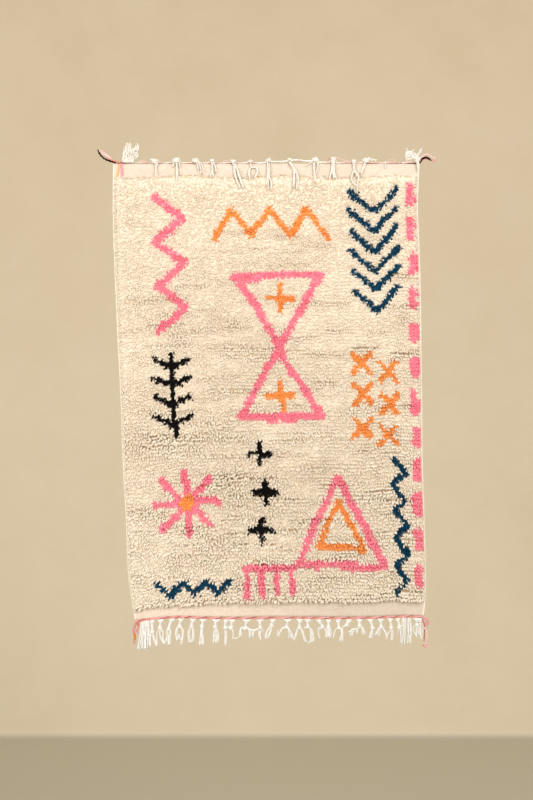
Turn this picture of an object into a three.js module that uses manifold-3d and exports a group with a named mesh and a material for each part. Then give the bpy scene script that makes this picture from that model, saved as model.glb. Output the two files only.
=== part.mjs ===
// A hand-knotted shag rug that hangs flat by its top edge.
// Millimetres. X runs to the right of someone who faces the pile, -Y comes out of the pile, +Z is up.
// The origin is the middle of the cloth's top edge, on the plane that its back hangs against.

import * as THREE from 'three';
import { mergeVertices } from 'three/addons/utils/BufferGeometryUtils.js';
import Module from 'manifold-3d';

const wasm = await Module();
wasm.setup();

// Driving dimensions
const LENGTH = 1517;
const KELIM_THICK = 3;
const SELVEDGE_THICK = 5;
const SELVEDGE_WIDE = 6;
const TOP_BAND = 40;
const TOP_BAND_WAVE = 3;
const LOWER_BAND = 48;
const FLAT_BAND = 60;
const PILE_HIGH = 17;
const PILE_LEAN = 6;
const PILE_LUMP = 5.5;
const LUMP_CELL = 58;
const CORD_WIDE = 4.6;
const CORD_FLAT = 3;
const STRIP_THICK = 1.4;
const STRIP_HIGH = 4;
const STRIP_BACK = 0.2;
const GAP = 0.35;

// Grid pitches and steps
const CLOTH_COLUMNS = 10;
const CLOTH_COURSES = 20;
const PILE_COLUMNS = 22;
const PILE_COURSE = 47;
const PARTING_HALF = 9;
const PARTING_CLEAR = 14;
const CORD_STEP = 11;
const CORD_TURN = Math.PI / 3;
const STRIP_PITCH = 70;

// The hanging outline, from the top edge down. drop is the depth below that edge, left and right are
// the side edges, and the lifts are how far the back stands off the wall plane at three places.
const OUTLINE = [
  { drop: 0, left: -514, right: 513, liftLeft: 0, liftMiddle: 0, liftRight: 0 },
  { drop: 60, left: -515, right: 510, liftLeft: 0, liftMiddle: 0, liftRight: 0 },
  { drop: 150, left: -515, right: 507, liftLeft: 2, liftMiddle: 4, liftRight: 1.5 },
  { drop: 260, left: -512, right: 511, liftLeft: 6, liftMiddle: 9, liftRight: 4 },
  { drop: 400, left: -506, right: 515, liftLeft: 9, liftMiddle: 6, liftRight: 8 },
  { drop: 600, left: -498, right: 518, liftLeft: 5, liftMiddle: 9, liftRight: 6 },
  { drop: 800, left: -487, right: 520, liftLeft: 9, liftMiddle: 6, liftRight: 10 },
  { drop: 1000, left: -481, right: 522, liftLeft: 6, liftMiddle: 11, liftRight: 7 },
  { drop: 1200, left: -469, right: 528, liftLeft: 10, liftMiddle: 7, liftRight: 12 },
  { drop: 1360, left: -463, right: 532, liftLeft: 13, liftMiddle: 9, liftRight: 9 },
  { drop: 1460, left: -450, right: 530, liftLeft: 16, liftMiddle: 6, liftRight: 13 },
  { drop: 1530, left: -438, right: 523, liftLeft: 19, liftMiddle: 5, liftRight: 16 },
];

// The lower ends of the pile and of the cloth, from the left edge (0) to the right edge (1).
const LOWER_EDGE = [
  { across: 0, pileEnd: 1491, clothEnd: 1527 },
  { across: 0.05, pileEnd: 1486, clothEnd: 1520 },
  { across: 0.1, pileEnd: 1480, clothEnd: 1515 },
  { across: 0.17, pileEnd: 1476, clothEnd: 1513 },
  { across: 0.29, pileEnd: 1471, clothEnd: 1517 },
  { across: 0.6, pileEnd: 1468, clothEnd: 1517 },
  { across: 0.74, pileEnd: 1466, clothEnd: 1517 },
  { across: 0.81, pileEnd: 1468, clothEnd: 1515 },
  { across: 0.89, pileEnd: 1459, clothEnd: 1513 },
  { across: 0.93, pileEnd: 1465, clothEnd: 1511 },
  { across: 1, pileEnd: 1470, clothEnd: 1512 },
];

// How far the upper cord and the strip behind it rise off the cloth.
const TOP_RISE = [
  { across: 0, rise: 0 },
  { across: 0.48, rise: 0 },
  { across: 0.54, rise: 4 },
  { across: 0.6, rise: 8 },
  { across: 0.65, rise: 4 },
  { across: 0.7, rise: 0 },
  { across: 1, rise: 0 },
];

// How much of its height the pile has near the rim of its field.
const PILE_RIM = [
  { inset: 0, share: 0.3 },
  { inset: 8, share: 0.75 },
  { inset: 20, share: 1 },
];

// Places where a course of pile has parted from the next.
const PARTINGS = [
  { drop: 648, from: 396, to: 512, deep: 7 },
  { drop: 808, from: 270, to: 505, deep: 5 },
  { drop: 1290, from: 300, to: 520, deep: 5 },
  { drop: 1368, from: -20, to: 130, deep: 5 },
];

// Locks of pile that stand out along each rim of the pile field.
const RIM_LOCKS = [
  { side: 'left', count: 34 },
  { side: 'right', count: 34 },
  { side: 'bottom', count: 30 },
  { side: 'top', count: 20 },
];
const LOCK = { wide: 14, deep: 11, tip: 6, inside: 13, corner: 0.02 };

// Knotted tassels of the lower edge. deep is measured from the cloth's end to the longest tail's tip,
// splay is how far the outer tails spread to each side.
const LOWER_TASSELS = [
  { x: -382, deep: 106, splay: 6 },
  { x: -351, deep: 102, splay: 14 },
  { x: -321, deep: 104, splay: 8 },
  { x: -287, deep: 98, splay: 12 },
  { x: -247, deep: 101, splay: 16 },
  { x: -215, deep: 96, splay: 9 },
  { x: -170, deep: 92, splay: 15 },
  { x: -134, deep: 94, splay: 7 },
  { x: -67, deep: 84, splay: 13 },
  { x: -22, deep: 80, splay: 15 },
  { x: 18, deep: 77, splay: 9 },
  { x: 65, deep: 82, splay: 13 },
  { x: 114, deep: 78, splay: 12 },
  { x: 140, deep: 74, splay: 6 },
  { x: 177, deep: 84, splay: 12 },
  { x: 207, deep: 80, splay: 7 },
  { x: 239, deep: 86, splay: 13 },
  { x: 276, deep: 82, splay: 10 },
  { x: 312, deep: 88, splay: 14 },
  { x: 346, deep: 84, splay: 9 },
  { x: 382, deep: 80, splay: 13 },
  { x: 413, deep: 86, splay: 8 },
  { x: 442, deep: 78, splay: 6 },
  { x: 502, deep: 84, splay: 8 },
];
const KNOT = { depth: 33, wide: 10, deep: 8 };
const LOWER_BUNCHES = [
  { x: -409, wide: 34, deep: 118, strands: 8 },
  { x: 468, wide: 24, deep: 104, strands: 6 },
];

// Tassels of the upper edge: how high each loop stands above the cloth, and how far its tails fall.
const UPPER_TASSELS = [
  { x: -379, high: 24, fall: 32, splay: 9, strands: 4 },
  { x: -316, high: 26, fall: 56, splay: 8, strands: 4 },
  { x: -236, high: 24, fall: 50, splay: 11, strands: 3 },
  { x: -187, high: 21, fall: 47, splay: 9, strands: 3 },
  { x: -96, high: 18, fall: 88, splay: 20, strands: 3 },
  { x: -41, high: 25, fall: 50, splay: 12, strands: 4 },
  { x: 17, high: 24, fall: 90, splay: 10, strands: 3 },
  { x: 95, high: 26, fall: 88, splay: 14, strands: 4 },
  { x: 179, high: 28, fall: 56, splay: 8, strands: 3 },
  { x: 215, high: 26, fall: 40, splay: 4, strands: 2 },
  { x: 286, high: 20, fall: 82, splay: 14, strands: 4 },
  { x: 319, high: 24, fall: 50, splay: 10, strands: 3 },
];

// How far out a tail lies where it falls in front of the kelim band and the pile's first courses.
const FALL = [
  { drop: 26, out: 11 },
  { drop: 46, out: 25 },
  { drop: 64, out: 30 },
  { drop: 92, out: 31.5 },
];

// Bunches of warp ends at the upper corners. Each strand leaves the strip at foot and ends at tipX, tipZ.
const LEFT_BUNCH = [
  { foot: -462, tipX: -474, tipZ: 50, out: 6 },
  { foot: -457, tipX: -468, tipZ: 62, out: 9 },
  { foot: -453, tipX: -456, tipZ: 66, out: 5 },
  { foot: -449, tipX: -444, tipZ: 60, out: 10 },
  { foot: -445, tipX: -432, tipZ: 66, out: 6 },
  { foot: -441, tipX: -421, tipZ: 56, out: 9 },
  { foot: -437, tipX: -426, tipZ: 38, out: 12 },
];
const RIGHT_BUNCH = [
  { foot: 470, tipX: 468, tipZ: 50, out: 7 },
  { foot: 475, tipX: 482, tipZ: 54, out: 10 },
  { foot: 480, tipX: 498, tipZ: 46, out: 6 },
  { foot: 485, tipX: 526, tipZ: 53, out: 8 },
];
const RIGHT_BUNCH_KNOT = { x: 477, z: 30, wide: 20, deep: 11 };
const RIGHT_BUNCH_TAIL = [
  [484, -7, 26],
  [497, -13, 18],
  [505, -12, -4],
  [508, -10.5, -26],
  [509, -21, -40],
];

// Loose ends of the two cords, from inside the cord outwards.
const LOOSE_ENDS = {
  topLeft: [
    [[-508, -4.3, 2.7], [-522, -6, 6], [-536, -9, 18], [-549, -10, 30], [-563, -8, 44]],
    [[-508, -4.3, 2.7], [-520, -9, 3], [-538, -12.5, 12], [-554, -13, 27], [-568, -10, 48]],
  ],
  topRight: [
    [[507, -4.3, 2.7], [519, -6, 8], [527, -8, 21], [538, -9, 22], [552, -8, 10]],
    [[507, -4.3, 2.7], [522, -8, 4], [537, -11, 5], [553, -12, 7], [569, -10, 13]],
  ],
  bottomLeft: [
    [[-434, -23, -1529.6], [-443, -25, -1538], [-446, -26, -1560], [-444, -25, -1596]],
    [[-434, -23, -1529.6], [-439, -28, -1541], [-440, -30, -1566], [-441, -28, -1601]],
  ],
  bottomRight: [
    [[519, -20, -1514.7], [529, -22, -1513], [539, -24, -1522], [535, -24, -1540], [526, -23, -1550]],
    [[519, -20, -1514.7], [522, -25, -1532], [527, -27, -1553], [533, -26, -1580], [535, -25, -1606]],
  ],
};
const LOOSE_WIDE = 2.8;
const END_KNOT = { x: 535, y: -25, z: -1610, wide: 8, high: 12 };

const mix = THREE.MathUtils.lerp;
const clamp = THREE.MathUtils.clamp;

// A smooth curve through one column of a table, read at a value of its key column.
function along(rows, key, value, column) {
  const last = rows.length - 1;
  let i = 0;
  while (i < last - 1 && rows[i + 1][key] < value) i++;
  const slope = (a, b) => (rows[b][column] - rows[a][column]) / (rows[b][key] - rows[a][key]);
  const span = rows[i + 1][key] - rows[i][key];
  const t = clamp((value - rows[i][key]) / span, 0, 1);
  const start = slope(Math.max(i - 1, 0), i + 1) * span;
  const end = slope(i, Math.min(i + 2, last)) * span;
  const ease = t * t * (3 - 2 * t);
  return mix(rows[i][column], rows[i + 1][column], ease) + t * (1 - t) * ((1 - t) * start - t * end);
}

// A repeatable scatter between 0 and 1.
function scatter(a, b = 0) {
  const t = Math.sin(a * 127.1 + b * 311.7 + 17.3) * 43758.5453;
  return t - Math.floor(t);
}

// A repeatable smooth unevenness between -1 and 1.
function uneven(x, drop) {
  const [i, j] = [Math.floor(x / LUMP_CELL), Math.floor(drop / LUMP_CELL)];
  const u = THREE.MathUtils.smoothstep(x / LUMP_CELL - i, 0, 1);
  const v = THREE.MathUtils.smoothstep(drop / LUMP_CELL - j, 0, 1);
  const upper = mix(scatter(i, j), scatter(i + 1, j), u);
  const lower = mix(scatter(i, j + 1), scatter(i + 1, j + 1), u);
  return 2 * mix(upper, lower, v) - 1;
}

// Where the cloth hangs. across runs from 0 to 1 between the side edges.
const edgeLeft = (drop) => along(OUTLINE, 'drop', drop, 'left');
const edgeRight = (drop) => along(OUTLINE, 'drop', drop, 'right');
const xAt = (across, drop) => mix(edgeLeft(drop), edgeRight(drop), across);
const acrossAt = (x, drop) => (x - edgeLeft(drop)) / (edgeRight(drop) - edgeLeft(drop));
const clothEnd = (across) => along(LOWER_EDGE, 'across', across, 'clothEnd');
const pileEnd = (across) => along(LOWER_EDGE, 'across', across, 'pileEnd');
const pileStart = (across) => TOP_BAND + TOP_BAND_WAVE * Math.sin(across * 19);
const topRise = (across) => Math.max(0, along(TOP_RISE, 'across', across, 'rise'));

function lift(across, drop) {
  if (drop <= FLAT_BAND) return 0;
  const sides = mix(
    along(OUTLINE, 'drop', drop, 'liftLeft'),
    along(OUTLINE, 'drop', drop, 'liftRight'),
    across,
  );
  const middle = along(OUTLINE, 'drop', drop, 'liftMiddle');
  return Math.max(0, mix(sides, middle, Math.sin(across * Math.PI) ** 2));
}

// A point in front of the cloth's back, moved in from a side edge by inset.
function onCloth(across, drop, out, inset = 0) {
  return new THREE.Vector3(xAt(across, drop) + inset, -lift(across, drop) - out, -drop);
}

function geometryOf(positions, faces) {
  const geometry = new THREE.BufferGeometry();
  geometry.setAttribute('position', new THREE.Float32BufferAttribute(positions, 3));
  geometry.setIndex(faces);
  return geometry;
}

// The closed solid between a front and a back grid of points.
function sheetGeometry(columns, rows, front, back) {
  const positions = [];
  for (const place of [front, back]) {
    for (let j = 0; j < rows; j++) {
      for (let i = 0; i < columns; i++) positions.push(...place(i, j).toArray());
    }
  }
  const at = (i, j, side) => (side * rows + j) * columns + i;
  const faces = [];
  const quad = (a, b, c, d) => faces.push(a, b, c, a, c, d);
  for (let j = 0; j + 1 < rows; j++) {
    for (let i = 0; i + 1 < columns; i++) {
      quad(at(i, j, 0), at(i, j + 1, 0), at(i + 1, j + 1, 0), at(i + 1, j, 0));
      quad(at(i, j, 1), at(i + 1, j, 1), at(i + 1, j + 1, 1), at(i, j + 1, 1));
    }
    const i = columns - 1;
    quad(at(0, j, 0), at(0, j, 1), at(0, j + 1, 1), at(0, j + 1, 0));
    quad(at(i, j, 0), at(i, j + 1, 0), at(i, j + 1, 1), at(i, j, 1));
  }
  for (let i = 0; i + 1 < columns; i++) {
    const j = rows - 1;
    quad(at(i, 0, 0), at(i + 1, 0, 0), at(i + 1, 0, 1), at(i, 0, 1));
    quad(at(i, j, 0), at(i, j, 1), at(i + 1, j, 1), at(i + 1, j, 0));
  }
  return geometryOf(positions, faces);
}

// A closed strand along points, of a width and a depth at each. turn winds its section at every step.
function strandGeometry(points, wide, deep, sides, turn = 0) {
  const positions = [];
  const heading = new THREE.Vector3();
  const u = new THREE.Vector3();
  const v = new THREE.Vector3(0, -1, 0);
  points.forEach((point, k) => {
    const before = points[Math.max(k - 1, 0)];
    const after = points[Math.min(k + 1, points.length - 1)];
    heading.subVectors(after, before).normalize();
    u.crossVectors(heading, v).normalize();
    v.crossVectors(u, heading).normalize();
    for (let s = 0; s < sides; s++) {
      const angle = (s / sides) * Math.PI * 2;
      const a = (Math.cos(angle) * wide[k]) / 2;
      const b = (Math.sin(angle) * deep[k]) / 2;
      const [cos, sin] = [Math.cos(turn * k), Math.sin(turn * k)];
      const place = point
        .clone()
        .addScaledVector(u, a * cos - b * sin)
        .addScaledVector(v, a * sin + b * cos);
      positions.push(...place.toArray());
    }
  });
  const faces = [];
  const last = (points.length - 1) * sides;
  for (let k = 0; k + 1 < points.length; k++) {
    for (let s = 0; s < sides; s++) {
      const a = k * sides + s;
      const b = k * sides + ((s + 1) % sides);
      faces.push(a, b + sides, b, a, a + sides, b + sides);
    }
  }
  for (let s = 1; s + 1 < sides; s++) {
    faces.push(0, s, s + 1);
    faces.push(last, last + s + 1, last + s);
  }
  return geometryOf(positions, faces);
}

// Solids for joining, and the named meshes that they become.
function solidOf(geometry) {
  const merged = mergeVertices(geometry, 1e-4);
  const solid = new wasm.Manifold(
    new wasm.Mesh({
      numProp: 3,
      vertProperties: merged.getAttribute('position').array,
      triVerts: Uint32Array.from(merged.index.array),
    }),
  );
  if (solid.volume() <= 0) throw new Error('a piece is inside out');
  return solid;
}

function meshOf(name, geometries, color, roughness) {
  const solid = wasm.Manifold.union(geometries.map(solidOf)).simplify(0.01);
  const { vertProperties, triVerts } = solid.getMesh();
  const geometry = geometryOf(Array.from(vertProperties), Array.from(triVerts));
  geometry.computeVertexNormals();
  const material = new THREE.MeshStandardMaterial({ color, roughness, metalness: 0 });
  const mesh = new THREE.Mesh(geometry, material);
  mesh.name = name;
  return mesh;
}

// The cloth's grid columns, with a round selvedge at each side.
function clothColumns() {
  const edge = [
    { inset: 0, thick: SELVEDGE_THICK * 0.6 },
    { inset: SELVEDGE_WIDE / 2, thick: SELVEDGE_THICK },
    { inset: SELVEDGE_WIDE, thick: KELIM_THICK },
  ];
  const columns = edge.map(({ inset, thick }) => ({ across: 0, inset, thick }));
  for (let i = 1; i < CLOTH_COLUMNS; i++) {
    columns.push({ across: i / CLOTH_COLUMNS, inset: 0, thick: KELIM_THICK });
  }
  columns.push(...edge.reverse().map(({ inset, thick }) => ({ across: 1, inset: -inset, thick })));
  return columns;
}

// The woven cloth: both kelim bands, the foundation under the pile, and the selvedges.
function clothGeometry() {
  const columns = clothColumns();
  const drops = [0, TOP_BAND / 2, FLAT_BAND];
  for (let j = 1; j <= CLOTH_COURSES; j++) drops.push(mix(FLAT_BAND, LENGTH, j / CLOTH_COURSES));
  const place = (i, j, thick) => {
    const { across, inset } = columns[i];
    const reach = (drops[j] - FLAT_BAND) / (LENGTH - FLAT_BAND);
    const drop = reach <= 0 ? drops[j] : mix(FLAT_BAND, clothEnd(across), reach);
    return onCloth(across, drop, thick, inset);
  };
  const front = (i, j) => place(i, j, columns[i].thick);
  const back = (i, j) => place(i, j, 0);
  return sheetGeometry(columns.length, drops.length, front, back);
}

// The pile field: lower at its rim, uneven all over, leaning down, and parted in places.
const rimInsets = PILE_RIM.map((row) => row.inset);
const pileShare = (inset) => along(PILE_RIM, 'inset', Math.min(inset, rimInsets.at(-1)), 'share');

function pileRows() {
  const end = LENGTH - LOWER_BAND;
  const rows = rimInsets.map((inset) => TOP_BAND + inset);
  const count = Math.round((end - TOP_BAND) / PILE_COURSE);
  for (let j = 2; j < count; j++) {
    const drop = mix(TOP_BAND, end, j / count);
    const clear = PARTINGS.every((parting) => Math.abs(parting.drop - drop) > PARTING_CLEAR);
    if (clear) rows.push(drop);
  }
  for (const { drop } of PARTINGS) rows.push(drop - PARTING_HALF, drop, drop + PARTING_HALF);
  rows.push(...rimInsets.map((inset) => end - inset));
  return rows.sort((a, b) => a - b);
}

function partingAt(x, drop) {
  const cut = PARTINGS.find((row) => row.drop === drop && x > row.from && x < row.to);
  return cut ? cut.deep : 0;
}

function pileColumns() {
  const columns = [];
  for (const rim of rimInsets) columns.push({ across: 0, inset: SELVEDGE_WIDE + rim, rim });
  for (let i = 1; i < PILE_COLUMNS; i++) {
    columns.push({ across: i / PILE_COLUMNS, inset: 0, rim: Infinity });
  }
  for (const rim of [...rimInsets].reverse()) columns.push({ across: 1, inset: -SELVEDGE_WIDE - rim, rim });
  return columns;
}

function pileGeometry() {
  const columns = pileColumns();
  const rows = pileRows();
  const [first, last] = [rows[0], rows.at(-1)];
  const place = (i, j, front) => {
    const { across, inset } = columns[i];
    const reach = (rows[j] - first) / (last - first);
    const drop = mix(pileStart(across), pileEnd(across) - PILE_LEAN, reach);
    if (!front) return onCloth(across, drop, KELIM_THICK / 2, inset);
    const edge = Math.min(columns[i].rim, rows[j] - first, last - rows[j]);
    const share = pileShare(edge);
    const x = xAt(across, drop) + inset;
    const high = share * (PILE_HIGH + PILE_LUMP * uneven(x, drop)) - partingAt(x, rows[j]);
    const point = onCloth(across, drop, KELIM_THICK + high, inset);
    point.z -= (PILE_LEAN * high) / PILE_HIGH;
    return point;
  };
  const front = (i, j) => place(i, j, true);
  const back = (i, j) => place(i, j, false);
  return sheetGeometry(columns.length, rows.length, front, back);
}

// Roots and tips of the rim locks: each starts inside the pile field and ends past its rim.
const LOCK_PLACES = {
  side(across, inwards, share, stray, other) {
    const drop = mix(TOP_BAND + LOCK.wide, pileEnd(across) - 1.5 * LOCK.wide, share);
    const root = onCloth(across, drop, KELIM_THICK + 6, inwards * (SELVEDGE_WIDE + LOCK.inside));
    const tip = onCloth(across, drop + 9 + 6 * other, KELIM_THICK + 5 + 3 * stray, inwards * 3 * other);
    return [root, tip];
  },
  left: (...chance) => LOCK_PLACES.side(0, 1, ...chance),
  right: (...chance) => LOCK_PLACES.side(1, -1, ...chance),
  bottom(share, stray, other) {
    const across = mix(LOCK.corner, 1 - LOCK.corner, share);
    const drop = pileEnd(across);
    const root = onCloth(across, drop - LOCK.inside - 4, KELIM_THICK + 7);
    const tip = onCloth(across, drop + 2 + 7 * other, KELIM_THICK + 6 + 3 * stray, 6 * other - 3);
    return [root, tip];
  },
  top(share, stray, other) {
    const across = mix(LOCK.corner, 1 - LOCK.corner, share);
    const drop = pileStart(across);
    const root = onCloth(across, drop + LOCK.inside, KELIM_THICK + 5);
    const tip = onCloth(across, drop - 2 - 3 * other, KELIM_THICK + 5 + 2 * stray);
    return [root, tip];
  },
};
const underTassel = (root) => {
  return UPPER_TASSELS.some(({ x, splay }) => Math.abs(x - root.x) < splay + LOCK.wide);
};

function rimLockGeometries() {
  const locks = [];
  for (const { side, count } of RIM_LOCKS) {
    for (let k = 0; k < count; k++) {
      const stray = scatter(k, side.length);
      const other = scatter(k + 50, side.length);
      const share = (k + 0.3 + 0.4 * stray) / count;
      const [root, tip] = LOCK_PLACES[side](share, stray, other);
      if (side === 'top' && underTassel(root)) continue;
      locks.push(strandGeometry([root, tip], [LOCK.wide, LOCK.tip], [LOCK.deep, LOCK.tip * 0.8], 3));
    }
  }
  return locks;
}

// A narrow strip just past an end of the cloth, which holds the fringe. edge gives its height.
function stripGeometry(from, to, edge, below) {
  const count = Math.ceil((to - from) / STRIP_PITCH);
  const stops = [from, to];
  for (let i = 1; i < count; i++) stops.push(mix(from, to, i / count));
  const corners = below ? LOWER_CORNERS.map((corner) => corner.x) : [];
  stops.push(...corners.filter((x) => x > from + 1 && x < to - 1));
  stops.sort((a, b) => a - b);
  const place = (i, j, out) => {
    const x = stops[i];
    const { z, y } = edge(x);
    const near = GAP + (j === 0 ? 0 : STRIP_HIGH);
    const height = below ? z - near : z + STRIP_HIGH + 2 * GAP - near;
    return new THREE.Vector3(x, y - STRIP_BACK - out, height);
  };
  const front = (i, j) => place(i, j, STRIP_THICK);
  const back = (i, j) => place(i, j, 0);
  return sheetGeometry(stops.length, 2, front, back);
}

const topEdge = (x) => ({ z: topRise(acrossAt(x, 0)), y: 0 });

// The cloth's lower edge runs straight from column to column.
const LOWER_CORNERS = clothColumns().map(({ across, inset }) => {
  return onCloth(across, clothEnd(across), 0, inset);
});

function bottomEdge(x) {
  const last = LOWER_CORNERS.length - 1;
  let i = 0;
  while (i < last - 1 && LOWER_CORNERS[i + 1].x < x) i++;
  const [a, b] = [LOWER_CORNERS[i], LOWER_CORNERS[i + 1]];
  const t = (x - a.x) / (b.x - a.x);
  return { y: mix(a.y, b.y, t), z: mix(a.z, b.z, t) };
}

const STRIP_MIDDLE = STRIP_BACK + STRIP_THICK / 2;
const CORD_MIDDLE = STRIP_BACK + STRIP_THICK + GAP + CORD_WIDE / 2;

// Every strand starts flat inside its strip and stays flat until it has passed the cord.
const FOOT = [
  { past: 2.6, out: STRIP_MIDDLE, deep: 1.1 },
  { past: 5.4, out: STRIP_MIDDLE + 0.1, deep: 1.3 },
];
const footPoints = (x, y, z, sign) => {
  return FOOT.map(({ past, out }) => new THREE.Vector3(x, y - out, z + sign * past));
};
const footDeep = FOOT.map((row) => row.deep);

// A twined cord along an edge, in front of its strip.
function cordGeometry(from, to, edge, sign) {
  const count = Math.round((to - from) / CORD_STEP) + 1;
  const points = [];
  for (let i = 0; i < count; i++) {
    const x = mix(from, to, i / (count - 1));
    const { z, y } = edge(x);
    points.push(new THREE.Vector3(x, y - CORD_MIDDLE, z + sign * (GAP + CORD_WIDE / 2)));
  }
  return strandGeometry(points, points.map(() => CORD_WIDE), points.map(() => CORD_FLAT), 4, CORD_TURN);
}

const vectors = (rows) => rows.map((row) => new THREE.Vector3(...row));

function looseEndGeometry(rows) {
  const points = new THREE.CatmullRomCurve3(vectors(rows)).getPoints(rows.length + 2);
  const wide = points.map((_, k) => LOOSE_WIDE * (k + 1 < points.length ? 1 : 0.6));
  return strandGeometry(points, wide, wide, 4);
}

function endKnotGeometry() {
  const { x, y, z, wide, high } = END_KNOT;
  const shape = [
    { up: 1, share: 0.35 },
    { up: 0.5, share: 1 },
    { up: -0.4, share: 0.9 },
    { up: -1, share: 0.4 },
  ];
  const points = shape.map(({ up }) => new THREE.Vector3(x, y, z + (up * high) / 2));
  const widths = shape.map(({ share }) => share * wide);
  return strandGeometry(points, widths, widths, 4);
}

// A knotted tassel: a flat gather at the strip, a thin neck, a knot, and three tails.
function lowerTasselGeometries({ x, deep, splay }, index) {
  const { z, y } = bottomEdge(x);
  const at = (dx, down, out) => new THREE.Vector3(x + dx, y - out, z - down);
  const sway = (scatter(index, 3) - 0.5) * 8;
  const rows = [
    { down: 12, share: 0, out: 3.2, wide: 5.6, deep: 4.2 },
    { down: KNOT.depth - 6, share: 0.4, out: 4, wide: 5, deep: 4.5 },
    { down: KNOT.depth, share: 0.5, out: 4.5, wide: KNOT.wide, deep: KNOT.deep },
    { down: KNOT.depth + 7, share: 0.7, out: 4.2, wide: 5.4, deep: 4.6 },
    { down: deep, share: 1.4, out: 4, wide: 2.8, deep: 2.4 },
  ];
  const below = rows.map((row) => at(sway * row.share, row.down, row.out));
  const points = [...footPoints(x, y, z, -1), ...below];
  const wide = [13, 10, ...rows.map((row) => row.wide)];
  const thick = [...footDeep, ...rows.map((row) => row.deep)];
  const pieces = [strandGeometry(points, wide, thick, 4)];
  for (const hand of [-1, 1]) {
    const reach = deep * mix(0.82, 0.97, scatter(index, 5 + hand));
    const out = 4.5 + 2.5 * hand * (scatter(index, 9) - 0.3);
    const tail = [
      at(sway * 0.6 + hand, KNOT.depth + 3, 4.5),
      at(sway * 0.6 + hand * splay * 0.55, mix(KNOT.depth, reach, 0.45), out),
      at(sway * 0.6 + hand * splay, reach, out - 1),
    ];
    pieces.push(strandGeometry(tail, [5, 4.8, 2.6], [4.5, 4.2, 2.2], 3));
  }
  return pieces;
}

// A straight bunch of warp ends that hang side by side.
function lowerBunchGeometries({ x, wide, deep, strands }) {
  const pieces = [];
  for (let k = 0; k < strands; k++) {
    const side = k / (strands - 1) - 0.5;
    const foot = x + side * wide * 0.7;
    const { z, y } = bottomEdge(foot);
    const reach = deep * mix(0.86, 1, scatter(k, x));
    const front = 3 + 2.4 * scatter(k + 9, x);
    const points = [
      ...footPoints(foot, y, z, -1),
      new THREE.Vector3(foot + side * 3, y - front, z - 14),
      new THREE.Vector3(x + side * wide * 0.9, y - front - 1, z - reach * 0.6),
      new THREE.Vector3(x + side * wide, y - front, z - reach),
    ];
    pieces.push(strandGeometry(points, [6, 5, 4.8, 4.8, 2.6], [...footDeep, 3.8, 4, 2.4], 3));
  }
  return pieces;
}

// A tassel of the upper edge: its strands stand up in a loop and fall forward over the cord.
function upperTasselGeometries({ x, high, fall, splay, strands }, index) {
  const pieces = [];
  const rise = topEdge(x).z;
  for (let k = 0; k < strands; k++) {
    const side = strands > 1 ? k / (strands - 1) - 0.5 : 0;
    const foot = x + side * 9;
    const head = high - 5 * scatter(index, k);
    const reach = fall * mix(0.72, 1, scatter(index + 20, k));
    const points = [
      ...footPoints(foot, 0, rise, 1),
      new THREE.Vector3(foot + side * 5, -4, head - 1),
      new THREE.Vector3(foot + side * 6, -8.5, head - 2),
      new THREE.Vector3(foot + side * 5, -10, rise),
    ];
    const stops = FALL.filter(({ drop }) => drop < reach - 5);
    stops.push({ drop: reach, out: along(FALL, 'drop', reach, 'out') });
    for (const { drop, out } of stops) {
      const spread = side * 2 * splay * (drop / fall);
      points.push(new THREE.Vector3(foot + spread, -out, -drop));
    }
    const middle = points.length - FOOT.length - 1;
    const wide = [6, 6, ...Array(middle).fill(4.6), 2.4];
    const deep = [...footDeep, ...Array(middle).fill(3.4), 2];
    pieces.push(strandGeometry(points, wide, deep, 3));
  }
  return pieces;
}

// A bunch of warp ends that stand up from the upper edge.
function standingBunchGeometries(rows) {
  return rows.map(({ foot, tipX, tipZ, out }) => {
    const points = [
      ...footPoints(foot, 0, 0, 1),
      new THREE.Vector3(mix(foot, tipX, 0.2), -out * 0.5, mix(6, tipZ, 0.35)),
      new THREE.Vector3(mix(foot, tipX, 0.6), -out, mix(6, tipZ, 0.75)),
      new THREE.Vector3(tipX, -out - 2, tipZ),
    ];
    return strandGeometry(points, [6, 6, 6.4, 6, 3], [...footDeep, 5, 5, 2.6], 4);
  });
}

// The knot of the right bunch, and the one tail that falls from it in front of the cloth.
function rightBunchExtras() {
  const { x, z, wide, deep } = RIGHT_BUNCH_KNOT;
  const points = [-12, -4, 6, 13].map((up) => new THREE.Vector3(x, -6, z + up));
  const knot = strandGeometry(points, [wide * 0.5, wide, wide * 0.9, wide * 0.5], [5, deep, deep, 5], 4);
  const tail = vectors(RIGHT_BUNCH_TAIL);
  return [knot, strandGeometry(tail, [5, 4.4, 4, 3.6, 2.4], [4, 3.6, 3.2, 3, 2], 4)];
}

const CREAM = 0xf0dfc2;
const FRINGE_WHITE = 0xf5ebdc;
const CORD_PINK = 0xee8f96;

// How far each edge's cord and strips run along X.
const SPANS = {
  topCord: [-511, 510],
  bottomCord: [-437, 521],
  topStrip: [-392, 334],
  bottomStrip: [-432, 516],
  leftStrip: [-470, -428],
  rightStrip: [463, 494],
};

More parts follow.
